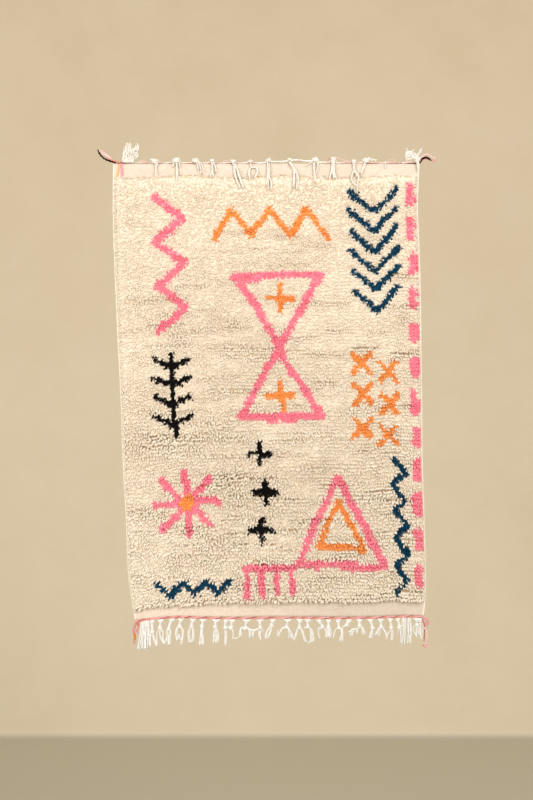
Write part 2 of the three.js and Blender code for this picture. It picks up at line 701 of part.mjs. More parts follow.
const topEnds = [...LOOSE_ENDS.topLeft, ...LOOSE_ENDS.topRight].map(looseEndGeometry);
const bottomEnds = [...LOOSE_ENDS.bottomLeft, ...LOOSE_ENDS.bottomRight].map(looseEndGeometry);
const PIECES = {
  rug_body: [clothGeometry(), pileGeometry(), ...rimLockGeometries()],
  top_cord: [cordGeometry(...SPANS.topCord, topEdge, 1), ...topEnds],
  bottom_cord: [cordGeometry(...SPANS.bottomCord, bottomEdge, -1), ...bottomEnds, endKnotGeometry()],
  top_fringe: [
    stripGeometry(...SPANS.topStrip, topEdge, false),
    ...UPPER_TASSELS.flatMap(upperTasselGeometries),
  ],
  bottom_fringe: [
    stripGeometry(...SPANS.bottomStrip, bottomEdge, true),
    ...LOWER_TASSELS.flatMap(lowerTasselGeometries),
    ...LOWER_BUNCHES.flatMap(lowerBunchGeometries),
  ],
  top_left_bunch: [
    stripGeometry(...SPANS.leftStrip, topEdge, false),
    ...standingBunchGeometries(LEFT_BUNCH),
  ],
  top_right_bunch: [
    stripGeometry(...SPANS.rightStrip, topEdge, false),
    ...standingBunchGeometries(RIGHT_BUNCH),
    ...rightBunchExtras(),
  ],
};
const COLORS = { rug_body: CREAM, top_cord: CORD_PINK, bottom_cord: CORD_PINK };

const rug = new THREE.Group();
for (const [name, geometries] of Object.entries(PIECES)) {
  rug.add(meshOf(name, geometries, COLORS[name] ?? FRINGE_WHITE, 0.95));
}

export default rug;
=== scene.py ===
# A hand-knotted shag rug that hangs flat by its top edge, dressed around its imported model.
# Lengths below are millimetres in the row frame, and become metres where a mesh is made.
# X runs to the right of someone who faces the pile, -Y comes out of the pile, +Z is up.
import math

import bpy
import numpy as np
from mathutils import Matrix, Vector


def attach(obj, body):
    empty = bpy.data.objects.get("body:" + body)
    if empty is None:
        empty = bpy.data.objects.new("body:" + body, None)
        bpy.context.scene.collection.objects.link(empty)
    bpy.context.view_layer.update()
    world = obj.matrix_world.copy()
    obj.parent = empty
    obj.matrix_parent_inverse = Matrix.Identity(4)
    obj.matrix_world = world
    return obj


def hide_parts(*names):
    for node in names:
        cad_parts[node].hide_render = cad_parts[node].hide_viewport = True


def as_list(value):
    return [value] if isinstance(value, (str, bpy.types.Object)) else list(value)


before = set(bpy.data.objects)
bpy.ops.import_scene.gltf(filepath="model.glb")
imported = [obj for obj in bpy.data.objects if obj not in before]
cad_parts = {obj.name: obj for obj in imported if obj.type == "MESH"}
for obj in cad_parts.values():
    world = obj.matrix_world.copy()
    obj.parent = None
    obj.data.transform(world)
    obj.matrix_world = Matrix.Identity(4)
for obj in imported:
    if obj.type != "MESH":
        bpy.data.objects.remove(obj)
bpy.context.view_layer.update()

MM = 0.001

# The hanging outline, and how far the back stands off the wall plane at three places.
OUTLINE = dict(
    drop=[0, 60, 150, 260, 400, 600, 800, 1000, 1200, 1360, 1460, 1530],
    left=[-514, -515, -515, -512, -506, -498, -487, -481, -469, -463, -450, -438],
    right=[513, 510, 507, 511, 515, 518, 520, 522, 528, 532, 530, 523],
    lift_left=[0, 0, 2, 6, 9, 5, 9, 6, 10, 13, 16, 19],
    lift_middle=[0, 0, 4, 9, 6, 9, 6, 11, 7, 9, 6, 5],
    lift_right=[0, 0, 1.5, 4, 8, 6, 10, 7, 12, 9, 13, 16],
)
LOWER_EDGE = dict(
    across=[0, 0.05, 0.1, 0.17, 0.29, 0.6, 0.74, 0.81, 0.89, 0.93, 1],
    pile_end=[1491, 1486, 1480, 1476, 1471, 1468, 1466, 1468, 1459, 1465, 1470],
    cloth_end=[1527, 1520, 1515, 1513, 1517, 1517, 1517, 1515, 1513, 1511, 1512],
)
TOP_RISE = dict(across=[0, 0.48, 0.54, 0.6, 0.65, 0.7, 1], rise=[0, 0, 4, 8, 4, 0, 0])
KELIM_THICK = 3.0
TOP_BAND = 40
TOP_BAND_WAVE = 3
TOP_BAND_TURN = 19
FLAT_BAND = 60
CLOTH_WIDE = 1000
SELVEDGE_WIDE = 6
SELVEDGE_SHARE = 0.009
CORD_OUT = 4.25
CORD_PAST = 2.65
STRIP_OUT = 2.4


def curve_at(table, key, value, column):
    """Reads a smooth curve through one column of a table."""
    keys = np.asarray(table[key], float)
    heights = np.asarray(table[column], float)
    value = np.asarray(value, float)
    last = len(keys) - 1
    i = np.clip(np.searchsorted(keys, value) - 1, 0, last - 1)
    before, after = np.maximum(i - 1, 0), np.minimum(i + 2, last)
    span = keys[i + 1] - keys[i]
    t = np.clip((value - keys[i]) / span, 0, 1)
    start = (heights[i + 1] - heights[before]) / (keys[i + 1] - keys[before]) * span
    end = (heights[after] - heights[i]) / (keys[after] - keys[i]) * span
    ease = t * t * (3 - 2 * t)
    bend = t * (1 - t) * ((1 - t) * start - t * end)
    return heights[i] * (1 - ease) + heights[i + 1] * ease + bend


def mix(a, b, t):
    return a + (b - a) * t


def outline(column, drop):
    return curve_at(OUTLINE, "drop", drop, column)


def x_at(across, drop):
    return mix(outline("left", drop), outline("right", drop), across)


def across_at(x, drop):
    left, right = outline("left", drop), outline("right", drop)
    return (x - left) / (right - left)


def lift(across, drop):
    sides = mix(outline("lift_left", drop), outline("lift_right", drop), across)
    sway = np.sin(np.asarray(across) * math.pi) ** 2
    hung = np.maximum(0, mix(sides, outline("lift_middle", drop), sway))
    return np.where(np.asarray(drop) <= FLAT_BAND, 0, hung)


def cloth_end(across):
    return curve_at(LOWER_EDGE, "across", across, "cloth_end")


def pile_end(across):
    return curve_at(LOWER_EDGE, "across", across, "pile_end")


def pile_start(across):
    return TOP_BAND + TOP_BAND_WAVE * np.sin(np.asarray(across) * TOP_BAND_TURN)


def top_rise(across):
    return np.maximum(0, curve_at(TOP_RISE, "across", across, "rise"))


def on_cloth(across, drop, out=0.0, inset=0.0):
    """A point in front of the cloth's back, moved in from a side edge by inset."""
    across, drop, out, inset = np.broadcast_arrays(across, drop, out, inset)
    return np.stack([x_at(across, drop) + inset, -lift(across, drop) - out, -drop], -1)


def patches(x, y, cell, seed):
    """Smooth noise between -1 and 1, in patches of about cell."""
    wide, high = cell if isinstance(cell, tuple) else (cell, cell)
    size = 256
    lattice = np.random.default_rng(seed).uniform(-1, 1, (size, size))
    u, v = np.asarray(x, float) / wide + size / 2, np.asarray(y, float) / high + size / 2
    i, j = np.floor(u).astype(int), np.floor(v).astype(int)
    fu, fv = u - i, v - j
    fu, fv = fu * fu * (3 - 2 * fu), fv * fv * (3 - 2 * fv)
    i, j = i % size, j % size
    k, m = (i + 1) % size, (j + 1) % size
    upper = mix(lattice[i, j], lattice[k, j], fu)
    lower = mix(lattice[i, m], lattice[k, m], fu)
    return mix(upper, lower, fv)


# Meshes
def new_piece(name, points, faces, material, slot, tint=None, map_corners=None):
    """Makes a piece from points in millimetres, and rides it on the only body."""
    mesh = bpy.data.meshes.new(name)
    mesh.from_pydata(np.asarray(points, float) * MM, [], faces)
    mesh.polygons.foreach_set("use_smooth", np.ones(len(mesh.polygons), bool))
    if tint is not None:
        layer = mesh.attributes.new("tint", "FLOAT", "POINT")
        layer.data.foreach_set("value", np.asarray(tint, np.float32))
    if map_corners is not None:
        layer = mesh.uv_layers.new(name="OFBake")
        layer.data.foreach_set("uv", np.asarray(map_corners, np.float32).ravel())
    mesh.update()
    piece = bpy.data.objects.new(name, mesh)
    bpy.context.scene.collection.objects.link(piece)
    piece.data.materials.append(material)
    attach(piece, "root")
    return piece


def smooth_path(points, steps):
    """A Catmull-Rom curve through points, with steps spans between each two."""
    points = np.asarray(points, float)
    ends = np.vstack([2 * points[0] - points[1], points, 2 * points[-1] - points[-2]])
    t = np.linspace(0, 1, steps, endpoint=False)[:, None]
    spans = []
    for a, b, c, d in zip(ends[:-3], ends[1:-2], ends[2:-1], ends[3:]):
        bent = 2 * b + (c - a) * t + (2 * a - 5 * b + 4 * c - d) * t**2 + (3 * b - a - 3 * c + d) * t**3
        spans.append(bent / 2)
    return np.vstack([*spans, points[-1:]])


def steady_frames(path, start=(0.0, -1.0, 0.0)):
    """Heading and two steady cross directions at each point of a path."""
    heading = np.gradient(path, axis=0)
    heading /= np.linalg.norm(heading, axis=1, keepdims=True) + 1e-9
    side = np.asarray(start, float)
    us, vs = [], []
    for t in heading:
        u = np.cross(t, side)
        if np.linalg.norm(u) < 1e-6:
            u = np.cross(t, (0.31, 0.17, 0.93))
        u /= np.linalg.norm(u)
        side = np.cross(u, t)
        us.append(u)
        vs.append(side)
    return heading, np.array(us), np.array(vs)


def tube_faces(sides, levels):
    """A closed tube's faces, and where each face corner lies on a unit square that unrolls it."""
    faces, corners = [], []
    around = np.arange(sides + 1) / sides * 0.9 + 0.05
    along = np.linspace(0.12, 0.88, levels)
    turn = np.arange(sides) / sides * 2 * math.pi
    disc = np.stack([0.05 + 0.03 * np.cos(turn), 0.5 + 0.4 * np.sin(turn)], -1)
    last = (levels - 1) * sides
    for k in range(1, sides - 1):
        faces += [(0, k + 1, k), (last, last + k, last + k + 1)]
        corners += [(disc[0], disc[k + 1], disc[k]), tuple(disc[i] + (0.9, 0) for i in (0, k, k + 1))]
    for level in range(levels - 1):
        for k in range(sides):
            a, b = level * sides + k, level * sides + (k + 1) % sides
            p, q = (along[level], around[k]), (along[level], around[k + 1])
            r, s = (along[level + 1], around[k + 1]), (along[level + 1], around[k])
            faces += [(a, b, b + sides), (a, b + sides, a + sides)]
            corners += [(p, q, r), (p, r, s)]
    return np.array(faces), np.array(corners)


def cells(count):
    """Lower corners and the size of equal square cells that share out a unit square."""
    per_row = math.ceil(math.sqrt(count))
    index = np.arange(count)
    return np.stack([index % per_row, index // per_row], -1) / per_row, 1 / per_row


class Yarns:
    """Gathers many closed tubes, each twisted like a two-ply yarn, into one mesh."""

    def __init__(self):
        self.points, self.faces, self.corners, self.tints, self.count = [], [], [], [], 0

    def add(self, path, radius, sides=5, turn=0.0, lobe=1.0, tint=0.5):
        path = np.asarray(path, float)
        steps = len(path)
        radius = np.broadcast_to(radius, steps)
        _, u, v = steady_frames(path)
        angle = np.arange(sides) / sides * 2 * math.pi
        spin = turn * np.arange(steps)[:, None]
        a = np.cos(angle)[None] * radius[:, None]
        b = np.sin(angle)[None] * radius[:, None] * lobe
        along_u = a * np.cos(spin) - b * np.sin(spin)
        along_v = a * np.sin(spin) + b * np.cos(spin)
        rings = path[:, None] + u[:, None] * along_u[..., None] + v[:, None] * along_v[..., None]
        faces, corners = tube_faces(sides, steps)
        self.points.append(rings.reshape(-1, 3))
        self.faces.append(faces + self.count)
        self.corners.append(corners)
        self.tints.append(np.full(steps * sides, tint))
        self.count += steps * sides

    def make(self, name, material, slot):
        places, size = cells(len(self.corners))
        corners = np.concatenate([place + corner * size for place, corner in zip(places, self.corners)])
        points, faces, tints = map(np.concatenate, (self.points, self.faces, self.tints))
        return new_piece(name, points, faces, material, slot, tints, corners)


# Materials
MIX_FACTOR, MIX_FIRST, MIX_SECOND, MIX_COLOUR = 0, 6, 7, 2


def srgb(red, green, blue):
    """Linear colour from sRGB values of 0 to 255."""
    def linear(value):
        value /= 255
        return value / 12.92 if value <= 0.04045 else ((value + 0.055) / 1.055) ** 2.4
    return (linear(red), linear(green), linear(blue), 1.0)


class Nodes:
    """A short way to build a material's node tree."""

    def __init__(self, name):
        self.material = bpy.data.materials.new(name)
        self.material.use_nodes = True
        self.tree = self.material.node_tree
        self.shader = self.tree.nodes["Principled BSDF"]

    def feed(self, node, values):
        """Links or sets each named input."""
        for key, value in values.items():
            if isinstance(value, bpy.types.NodeSocket):
                self.tree.links.new(value, node.inputs[key])
            else:
                node.inputs[key].default_value = value

    def node(self, kind, values=None, **settings):
        node = self.tree.nodes.new(kind)
        for key, value in settings.items():
            setattr(node, key, value)
        self.feed(node, values or {})
        return node

    def blend(self, factor, first, second, way="MIX"):
        values = {MIX_FACTOR: factor, MIX_FIRST: first, MIX_SECOND: second}
        return self.node("ShaderNodeMix", values, data_type="RGBA", blend_type=way).outputs[MIX_COLOUR]

    def place(self):
        return self.node("ShaderNodeTexCoord").outputs["Object"]

    def attribute(self, name, output="Fac"):
        return self.node("ShaderNodeAttribute", attribute_name=name).outputs[output]

    def noise(self, place, scale, detail, **more):
        values = {"Vector": place, "Scale": scale, "Detail": detail, **more}
        return self.node("ShaderNodeTexNoise", values).outputs["Fac"]

    def bands(self, place, way, **more):
        settings = dict(wave_type="BANDS", bands_direction=way)
        return self.node("ShaderNodeTexWave", {"Vector": place, **more}, **settings).outputs["Fac"]

    def ramp(self, value, low, high):
        """0 where value is low, 1 where it is high."""
        values = {"Value": value, "From Min": low, "From Max": high}
        return self.node("ShaderNodeMapRange", values).outputs["Result"]

    def bump(self, height, strength, distance):
        values = {"Height": height, "Strength": strength, "Distance": distance}
        return self.node("ShaderNodeBump", values).outputs["Normal"]

    def finish(self, values):
        self.feed(self.shader, values)
        return self.material


def wool(name, dark, light, sheen=0.16, fibre=1.0, gloss=0.15):
    """Matte wool: its shade comes from each yarn's tint, and fine noise gives it fibres."""
    made = Nodes(name)
    place = made.place()
    shade = made.blend(made.attribute("tint"), dark, light)
    deep = tuple(c * 0.9 for c in dark[:3]) + (1.0,)
    mottle = made.ramp(made.noise(place, 420.0, 3.0), 0.35, 0.62)
    return made.finish({
        "Base Color": made.blend(mottle, deep, shade),
        "Normal": made.bump(made.noise(place, 1500.0, 2.0), 0.5 * fibre, 0.0008),
        "Roughness": 0.93,
        "Specular IOR Level": gloss,
        "Sheen Weight": sheen,
        "Sheen Roughness": 0.45,
    })


def spun(name, dark, light):
    """The smoother wool of the cords, the fringe and the selvedges."""
    return wool(name, srgb(*dark), srgb(*light), sheen=0.2, fibre=0.6)


# Each pile yarn's shade at its foot, where painted shade darkens each end's root, and at its lightest.
YARN_SHADES = dict(
    cream=(srgb(216, 195, 167), srgb(255, 247, 233)),
    pink=(srgb(236, 92, 116), srgb(255, 172, 188)),
    orange=(srgb(226, 116, 36), srgb(255, 180, 102)),
    navy=(srgb(4, 32, 50), srgb(16, 82, 114)),
    black=(srgb(6, 4, 4), srgb(22, 18, 18)),
)
YARNS = list(YARN_SHADES)
DARK_YARNS = ("navy", "black")
DARK_LOOK = dict(sheen=0.03, gloss=0.05)
PILE_WOOL = {
    yarn: wool(f"wool_{yarn}", *shades, **(DARK_LOOK if yarn in DARK_YARNS else {}))
    for yarn, shades in YARN_SHADES.items()
}
KELIM_LIGHT = srgb(229, 214, 198)
WARP_WOOL = spun("warp_yarn", (250, 245, 236), (255, 255, 252))
# A darker, warmer copy of the warp yarn for the upper fringe: painted shade that offsets the brighter light
# on the top edge.
UPPER_SHADED_WOOL = spun("upper_warp_yarn_shaded", (246, 236, 222), (255, 250, 241))
SELVEDGE_WOOL = spun("selvedge_wool", (240, 226, 204), (252, 242, 226))
CORD_PINK = spun("cord_pink", (227, 150, 152), (241, 187, 186))
CORD_PALE = spun("cord_pale", (244, 196, 188), (253, 222, 212))
CORD_CORAL = spun("cord_coral", (219, 139, 120), (234, 172, 154))
CORD_RED = spun("cord_red", (160, 70, 66), (200, 112, 102))
CORD_DARK = wool("cord_dark", srgb(14, 3, 2), srgb(30, 8, 6), sheen=0.0, fibre=0.6, gloss=0.04)
CORNER_WOOL = dict(
    orange=spun("corner_orange", (248, 178, 108), (255, 208, 152)),
    pink=spun("corner_pink", (252, 146, 166), (255, 190, 202)),
)


# The field's generic design, on a plane of 1000 x 1430: rows of blocks, zigzags, crosses and chevrons.
FIELD_WIDE = 1000
FIELD_LONG = 1430


def zigzag(x, y, step, rise, teeth):
    return [(x + k * step, y + (rise if k % 2 else 0)) for k in range(teeth + 1)]


def upright_zigzag(x, y, swing, step, teeth):
    return [(x + (swing if k % 2 else 0), y + k * step) for k in range(teeth + 1)]


def blocks(x, y, count, long, gap):
    starts = y + np.arange(count) * (long + gap)
    return [[(x, start), (x, start + long)] for start in starts]


def triangle(x, y, wide, high):
    return [(x, y), (x + wide / 2, y + high), (x - wide / 2, y + high - 6), (x, y)]


def fishbone(x, y, high, arm, pairs):
    lines = [[(x, y), (x + 10, y + high)]]
    for k in range(pairs):
        start = y + high * (k + 0.7) / (pairs + 0.3)
        lines.append([(x - arm, start - 0.55 * arm), (x + 4, start)])
        lines.append([(x + 4, start), (x + arm, start - 0.5 * arm)])
    return lines


def cross(x, y, size):
    return [[(x - size / 2, y), (x + size / 2, y + 3)], [(x, y - size / 2), (x + 3, y + size / 2)]]


def saltire(x, y, wide, high):
    left, right, above, below = x - wide / 2, x + wide / 2, y - high / 2, y + high / 2
    return [[(left, above), (right, below)], [(left, below), (right, above)]]


def chevrons(x, y, wide, high, count, gap):
    return [
        [(x, y + k * gap), (x + wide / 2, y + high + k * gap), (x + wide, y - 6 + k * gap)]
        for k in range(count)
    ]


def comb(x, y, wide, deep, teeth):
    lines = [[(x, y), (x + wide, y + 6)]]
    for tooth in np.linspace(x, x + wide, teeth):
        lines.append([(tooth, y), (tooth - 2, y + deep)])
    return lines


ORANGE_SALTIRES = [(808, 632), (896, 664), (806, 738), (898, 772), (804, 846), (892, 878)]

# Each motif is its yarn, how wide that is laid, and its lines.
DESIGN = [
    ("pink", 31, blocks(984, 40, 12, 46, 70)),
    ("pink", 26, [upright_zigzag(132, 70, 96, 74, 6)]),
    ("orange", 20, [zigzag(330, 210, 62, -96, 6)]),
    ("navy", 20, chevrons(784, 52, 152, 72, 6, 66)),
    ("pink", 26, [[(398, 338), (676, 330), (404, 806), (668, 812), (398, 338)]]),
    ("orange", 19, cross(538, 408, 84) + cross(536, 738, 88)),
    ("black", 19, fishbone(170, 600, 268, 58, 4)),
    ("orange", 19, sum([saltire(x, y, 58, 62) for x, y in ORANGE_SALTIRES], [])),
    ("pink", 24, cross(206, 1092, 210) + saltire(208, 1094, 160, 160)),
    ("orange", 44, [[(206, 1086), (210, 1100)]]),
    ("black", 20, cross(456, 930, 70) + cross(470, 1060, 66) + cross(452, 1190, 70)),
    ("pink", 26, [triangle(720, 1010, 290, 300)]),
    ("orange", 20, [triangle(722, 1096, 150, 156)]),
    ("navy", 19, [upright_zigzag(908, 960, 38, 44, 10)]),
    ("pink", 22, comb(400, 1312, 150, 92, 4)),
    ("navy", 19, [zigzag(96, 1352, 40, 42, 6)]),
]


def distance_to(line, x, y):
    """The distance from points to a line of straight runs."""
    nearest = np.full(np.shape(x), np.inf)
    for (ax, ay), (bx, by) in zip(line[:-1], line[1:]):
        along = (bx - ax) ** 2 + (by - ay) ** 2
        t = np.clip(((x - ax) * (bx - ax) + (y - ay) * (by - ay)) / max(along, 1e-6), 0, 1)
        nearest = np.minimum(nearest, np.hypot(x - ax - t * (bx - ax), y - ay - t * (by - ay)))
    return nearest


def waver(x, y, seed):
    """How far a line that is knotted by eye strays."""
    return 6 * patches(x, y, 90, seed) + 3 * patches(x, y, 28, seed + 1)


def yarn_at(x, y):
    """The index in YARNS of the yarn that is knotted at each place of the field."""
    drawn_x, drawn_y = x + waver(x, y, 11), y + waver(x, y, 13)
    found = np.zeros(np.shape(x), int)
    for yarn, width, lines in DESIGN:
        for line in lines:
            found[distance_to(line, drawn_x, drawn_y) < width / 2] = YARNS.index(yarn)
    return found


# The pile: two yarn ends a knot, in rows, each a tapered tube that bends down under its own weight.
ROWS = 124
KNOTS = 122
ROW_MARGINS = (2, 7)
PILE_LONG = 1470
PILE_HIGH = 16
PILE_LUMP = 3.0
HANG_LOSS = 0.012
TIP_PAST = 2.7
ROOT_SUNK = 1.2
RIM_CLEAR = 7.5
HIGH_SCATTER = 1.2
CORNER_SCATTER = 2.5
END_RADIUS = 2.9
END_SIDES = 5
CREAM_PIECES = 5
# How neighbours differ, first where the ends lie every way and then where the rows of knots show.
PAIR_APART = (2.9, 1.3)
DROP_SCATTER = (2.4, 1.0)
DOWN_SCATTER = (2.8, 2.2)
SIDE_SCATTER = (3.0, 1.8)
# Gaps between rows: the large ones listed one by one, and how many small ones there are.
PARTINGS = [
    dict(drop=641, start=405, stop=512, wave=2, open=2.0),
    dict(drop=658, start=385, stop=475, wave=2, open=1.5),
    dict(drop=621, start=280, stop=380, wave=2, open=1.6),
    dict(drop=647, start=318, stop=375, wave=1, open=1.5),
    dict(drop=808, start=275, stop=510, wave=4, open=0.7),
    dict(drop=1355, start=-20, stop=130, wave=4, open=0.8),
]
SHORT_PARTINGS = 130
FINE_PARTINGS = 60
PARTING_WIDE = 2.8
PARTING_REACH = 9


def field_share(across):
    """0 to 1 between the selvedges."""
    return (across - SELVEDGE_SHARE) / (1 - 2 * SELVEDGE_SHARE)


def pile_span(across):
    """Where the first and the last row of knots lie."""
    return pile_start(across) + ROW_MARGINS[0], pile_end(across) - ROW_MARGINS[1]


def knot_grid():
    """Where each knot sits: its place on the cloth, its row, and its yarn."""
    column, row = np.meshgrid(np.arange(KNOTS), np.arange(ROWS))
    across = mix(SELVEDGE_SHARE, 1 - SELVEDGE_SHARE, (column + 0.5) / KNOTS)
    reach = (row + 0.55) / ROWS
    drop = mix(*pile_span(across), reach)
    yarn = yarn_at(field_share(across) * FIELD_WIDE, reach * FIELD_LONG)
    return across, drop, row, yarn


def shagginess(x, drop):
    """0 where the pile stands up short and even, 1 where it hangs long and loose."""
    return np.clip((drop / PILE_LONG - 0.1) / 0.6 + 0.25 * patches(x, drop, 220, 20), 0, 1)


def row_order(x, drop):
    """0 where the yarn ends lie every way, 1 where the rows of knots show."""
    midway = np.exp(-(((drop - 760) / 300) ** 2))
    rows_show = np.clip(0.42 + x / 1000 + 0.3 * midway + 0.4 * patches(x, drop, 260, 28), 0, 0.85)
    return rows_show * np.clip((drop - 60) / 500, 0.1, 1)


def corner_lay(x, drop):
    """1 at the lower left corner, where the ends lie over in a slanting grain."""
    return np.exp(-(((x + 470) / 210) ** 2) - ((drop - 1480) / 240) ** 2)


def pile_hang(x, drop):
    """How far the ends hang down, before each end's own difference."""
    return mix(3.0, 8.2, mix(0.3, 1.0, shagginess(x, drop))) + 5.5 * corner_lay(x, drop)


def pile_height(x, drop):
    """How far the pile stands out, before each end's own difference."""
    lumps = PILE_LUMP * patches(x, drop, 75, 23)
    return PILE_HIGH + lumps - HANG_LOSS * pile_hang(x, drop) ** 2 - 1.5 * corner_lay(x, drop)


def parting(rng, start, drop, length, gape, wave):
    """A gap from start on, whose length, gape and wave are drawn from their ranges."""
    length, gape = rng.uniform(*length), rng.uniform(*gape)
    return dict(drop=drop, start=start, stop=start + length, wave=rng.uniform(*wave), open=gape)


def small_partings():
    """Short gaps between rows, mostly on the right and low down, and long fine ones on the left."""
    rng = np.random.default_rng(31)
    found = []
    for _ in range(SHORT_PARTINGS):
        place = 440 - 900 * rng.uniform(0, 1) ** 1.2, 250 + 1200 * math.sqrt(rng.uniform(0, 1))
        found.append(parting(rng, *place, (50, 190), (0.45, 1.15), (1, 4)))
    for _ in range(FINE_PARTINGS):
        place = -500 + 620 * rng.uniform(0, 1), 170 + 850 * rng.uniform(0, 1)
        found.append(parting(rng, *place, (90, 280), (0.35, 0.7), (1, 3)))
    return found


ALL_PARTINGS = PARTINGS + small_partings()


def partings(x, drop):
    """How far each place is below each parting's line, and how open the parting is there."""
    ragged = 1.5 * patches(x, x * 0, 16, 29)
    for cut in ALL_PARTINGS:
        line = cut["drop"] + cut["wave"] * np.sin(x / 37) + ragged
        ends = np.clip((x - cut["start"]) / 20, 0, 1) * np.clip((cut["stop"] - x) / 20, 0, 1)
        yield drop - line, ends * cut["open"]


def pile_ends():
    """Every yarn end: root, middle and tip, its radius, its yarn and its tint."""
    rng = np.random.default_rng(2198)
    across, drop, row, yarn = (np.repeat(part[..., None], 2, -1) for part in knot_grid())
    twin = np.array([-1, 1])
    across = across + 0.002 * twin + rng.normal(0, 0.0008, across.shape)
    x = x_at(across, drop)
    order = row_order(x, drop)
    drop = drop + rng.normal(0, 1, x.shape) * mix(*DROP_SCATTER, order)
    depth = drop / PILE_LONG
    shag = mix(0.3, 1.0, shagginess(x, drop))
    streak = order * patches(x, row * 40.0, (85, 13), 21)
    corner = corner_lay(x, drop)
    hang = pile_hang(x, drop)

    high = pile_height(x, drop) + shag * (streak + patches(x, drop, 24, 22))
    high = high + rng.normal(0, HIGH_SCATTER, x.shape) * mix(0.1, 1.0, shag)
    down = hang + twin * (1 - 2 * (row % 2)) * mix(*PAIR_APART, order)
    down = down + shag * (2.6 * streak + 1.8 * patches(x, drop, 34, 24))
    down = down + rng.normal(0, 1, x.shape) * mix(*DOWN_SCATTER, order)
    down = down + corner * rng.normal(0, CORNER_SCATTER, x.shape)
    high = high - HANG_LOSS * (np.maximum(down, 0) ** 2 - hang**2)
    slant = mix(-5.5, 2.5, across) * depth + 4.5 * patches(x, drop, 70, 25) - 11 * corner
    side = shag * (slant + 3.0 * patches(x, drop, 24, 26))
    side = side + rng.normal(0, 1, x.shape) * mix(*SIDE_SCATTER, order)

    from_left, from_right = x - x_at(0.0, drop), x_at(1.0, drop) - x
    side_rim = np.exp(-(np.minimum(from_left, from_right) - 8) / 9)
    top_rim = np.exp(-(drop - TOP_BAND) / 16)
    end_rim = np.exp(-(pile_end(across) - drop) / 12)
    side = side * (1 - side_rim) + np.where(across < 0.5, -1.5, 1.5) * side_rim
    side = np.clip(side, RIM_CLEAR - from_left, from_right - RIM_CLEAR)
    high = high - 4.0 * side_rim - 8 * top_rim - 1.5 * end_rim
    down = down - 3 * top_rim + end_rim * (2.5 + 4.5 * patches(x, x * 0, 26, 33))
    for under, gape in partings(x + side, drop + down):
        near = np.clip(1 - np.abs(under) / PARTING_REACH, 0, 1)
        down = down + np.sign(under) * PARTING_WIDE * gape * near

    root = on_cloth(across, drop, KELIM_THICK - ROOT_SUNK)
    middle = root + np.stack([side * 0.35, -high * 1.02, 2.5 - down * 0.15], -1)
    tip = root + np.stack([side, -high * 0.98 - ROOT_SUNK, -down], -1)
    radius = END_RADIUS * mix(1.23, 1.0, shag) * (1 - 0.08 * corner) * rng.uniform(0.82, 1.18, x.shape)
    uneven = 0.12 * patches(x, drop, (160, 50), 31) + 0.06 * patches(x, row * 31.0, (90, 11), 32)
    # The tint holds painted light and shade: darker at the top of the pile and along its upper rim, which
    # face the key light, and lighter further down, where less light falls; uneven is the yarns' own patchy
    # tone.
    shade = mix(0.15, 0.98, depth**0.35) - 0.3 * top_rim + uneven
    tint = np.clip(shade + rng.normal(0, 0.1, x.shape) * shag, 0, 1)
    return [part.reshape(-1, *part.shape[3:]) for part in (root, middle, tip, radius, yarn, tint)]


def end_section(t, root, middle, tip):
    """A point and a heading on each end's bend."""
    point = (1 - t) ** 2 * root + 2 * t * (1 - t) * middle + t**2 * tip
    heading = 2 * (1 - t) * (middle - root) + 2 * t * (tip - middle)
    return point, heading / np.linalg.norm(heading, axis=-1, keepdims=True)


# Each yarn end has a point at its root, rings at these shares of its length, and a blunt tip.
# A ring's second number is how wide it is. The list after it is how much darker each level is tinted:
# painted shade towards the root, where the ends crowd together, and a little painted light at the tip.
END_RINGS = [(0.5, 0.98), (0.87, 1.1)]
END_ROOT_SHADE = [0.85, 0.4, -0.02, -0.12]


def end_faces():
    """One yarn end's faces, and where each face corner lies on a unit square that unrolls it."""
    faces, corners = [], []
    around = np.arange(END_SIDES + 1) / END_SIDES * 0.9 + 0.05
    along = [0.04, 0.45, 0.8, 0.96]
    last = len(END_RINGS) * END_SIDES + 1
    for k in range(END_SIDES):
        n = (k + 1) % END_SIDES
        centre = (around[k] + around[k + 1]) / 2
        faces.append((0, 1 + n, 1 + k))
        corners.append(((along[0], centre), (along[1], around[k + 1]), (along[1], around[k])))
        a, b, c, d = 1 + k, 1 + n, 1 + n + END_SIDES, 1 + k + END_SIDES
        p, q = (along[1], around[k]), (along[1], around[k + 1])
        r, s = (along[2], around[k + 1]), (along[2], around[k])
        faces += [(a, b, c), (a, c, d), (d, c, last)]
        corners += [(p, q, r), (p, r, s), (s, r, (along[3], centre))]
    return np.array(faces), np.array(corners)


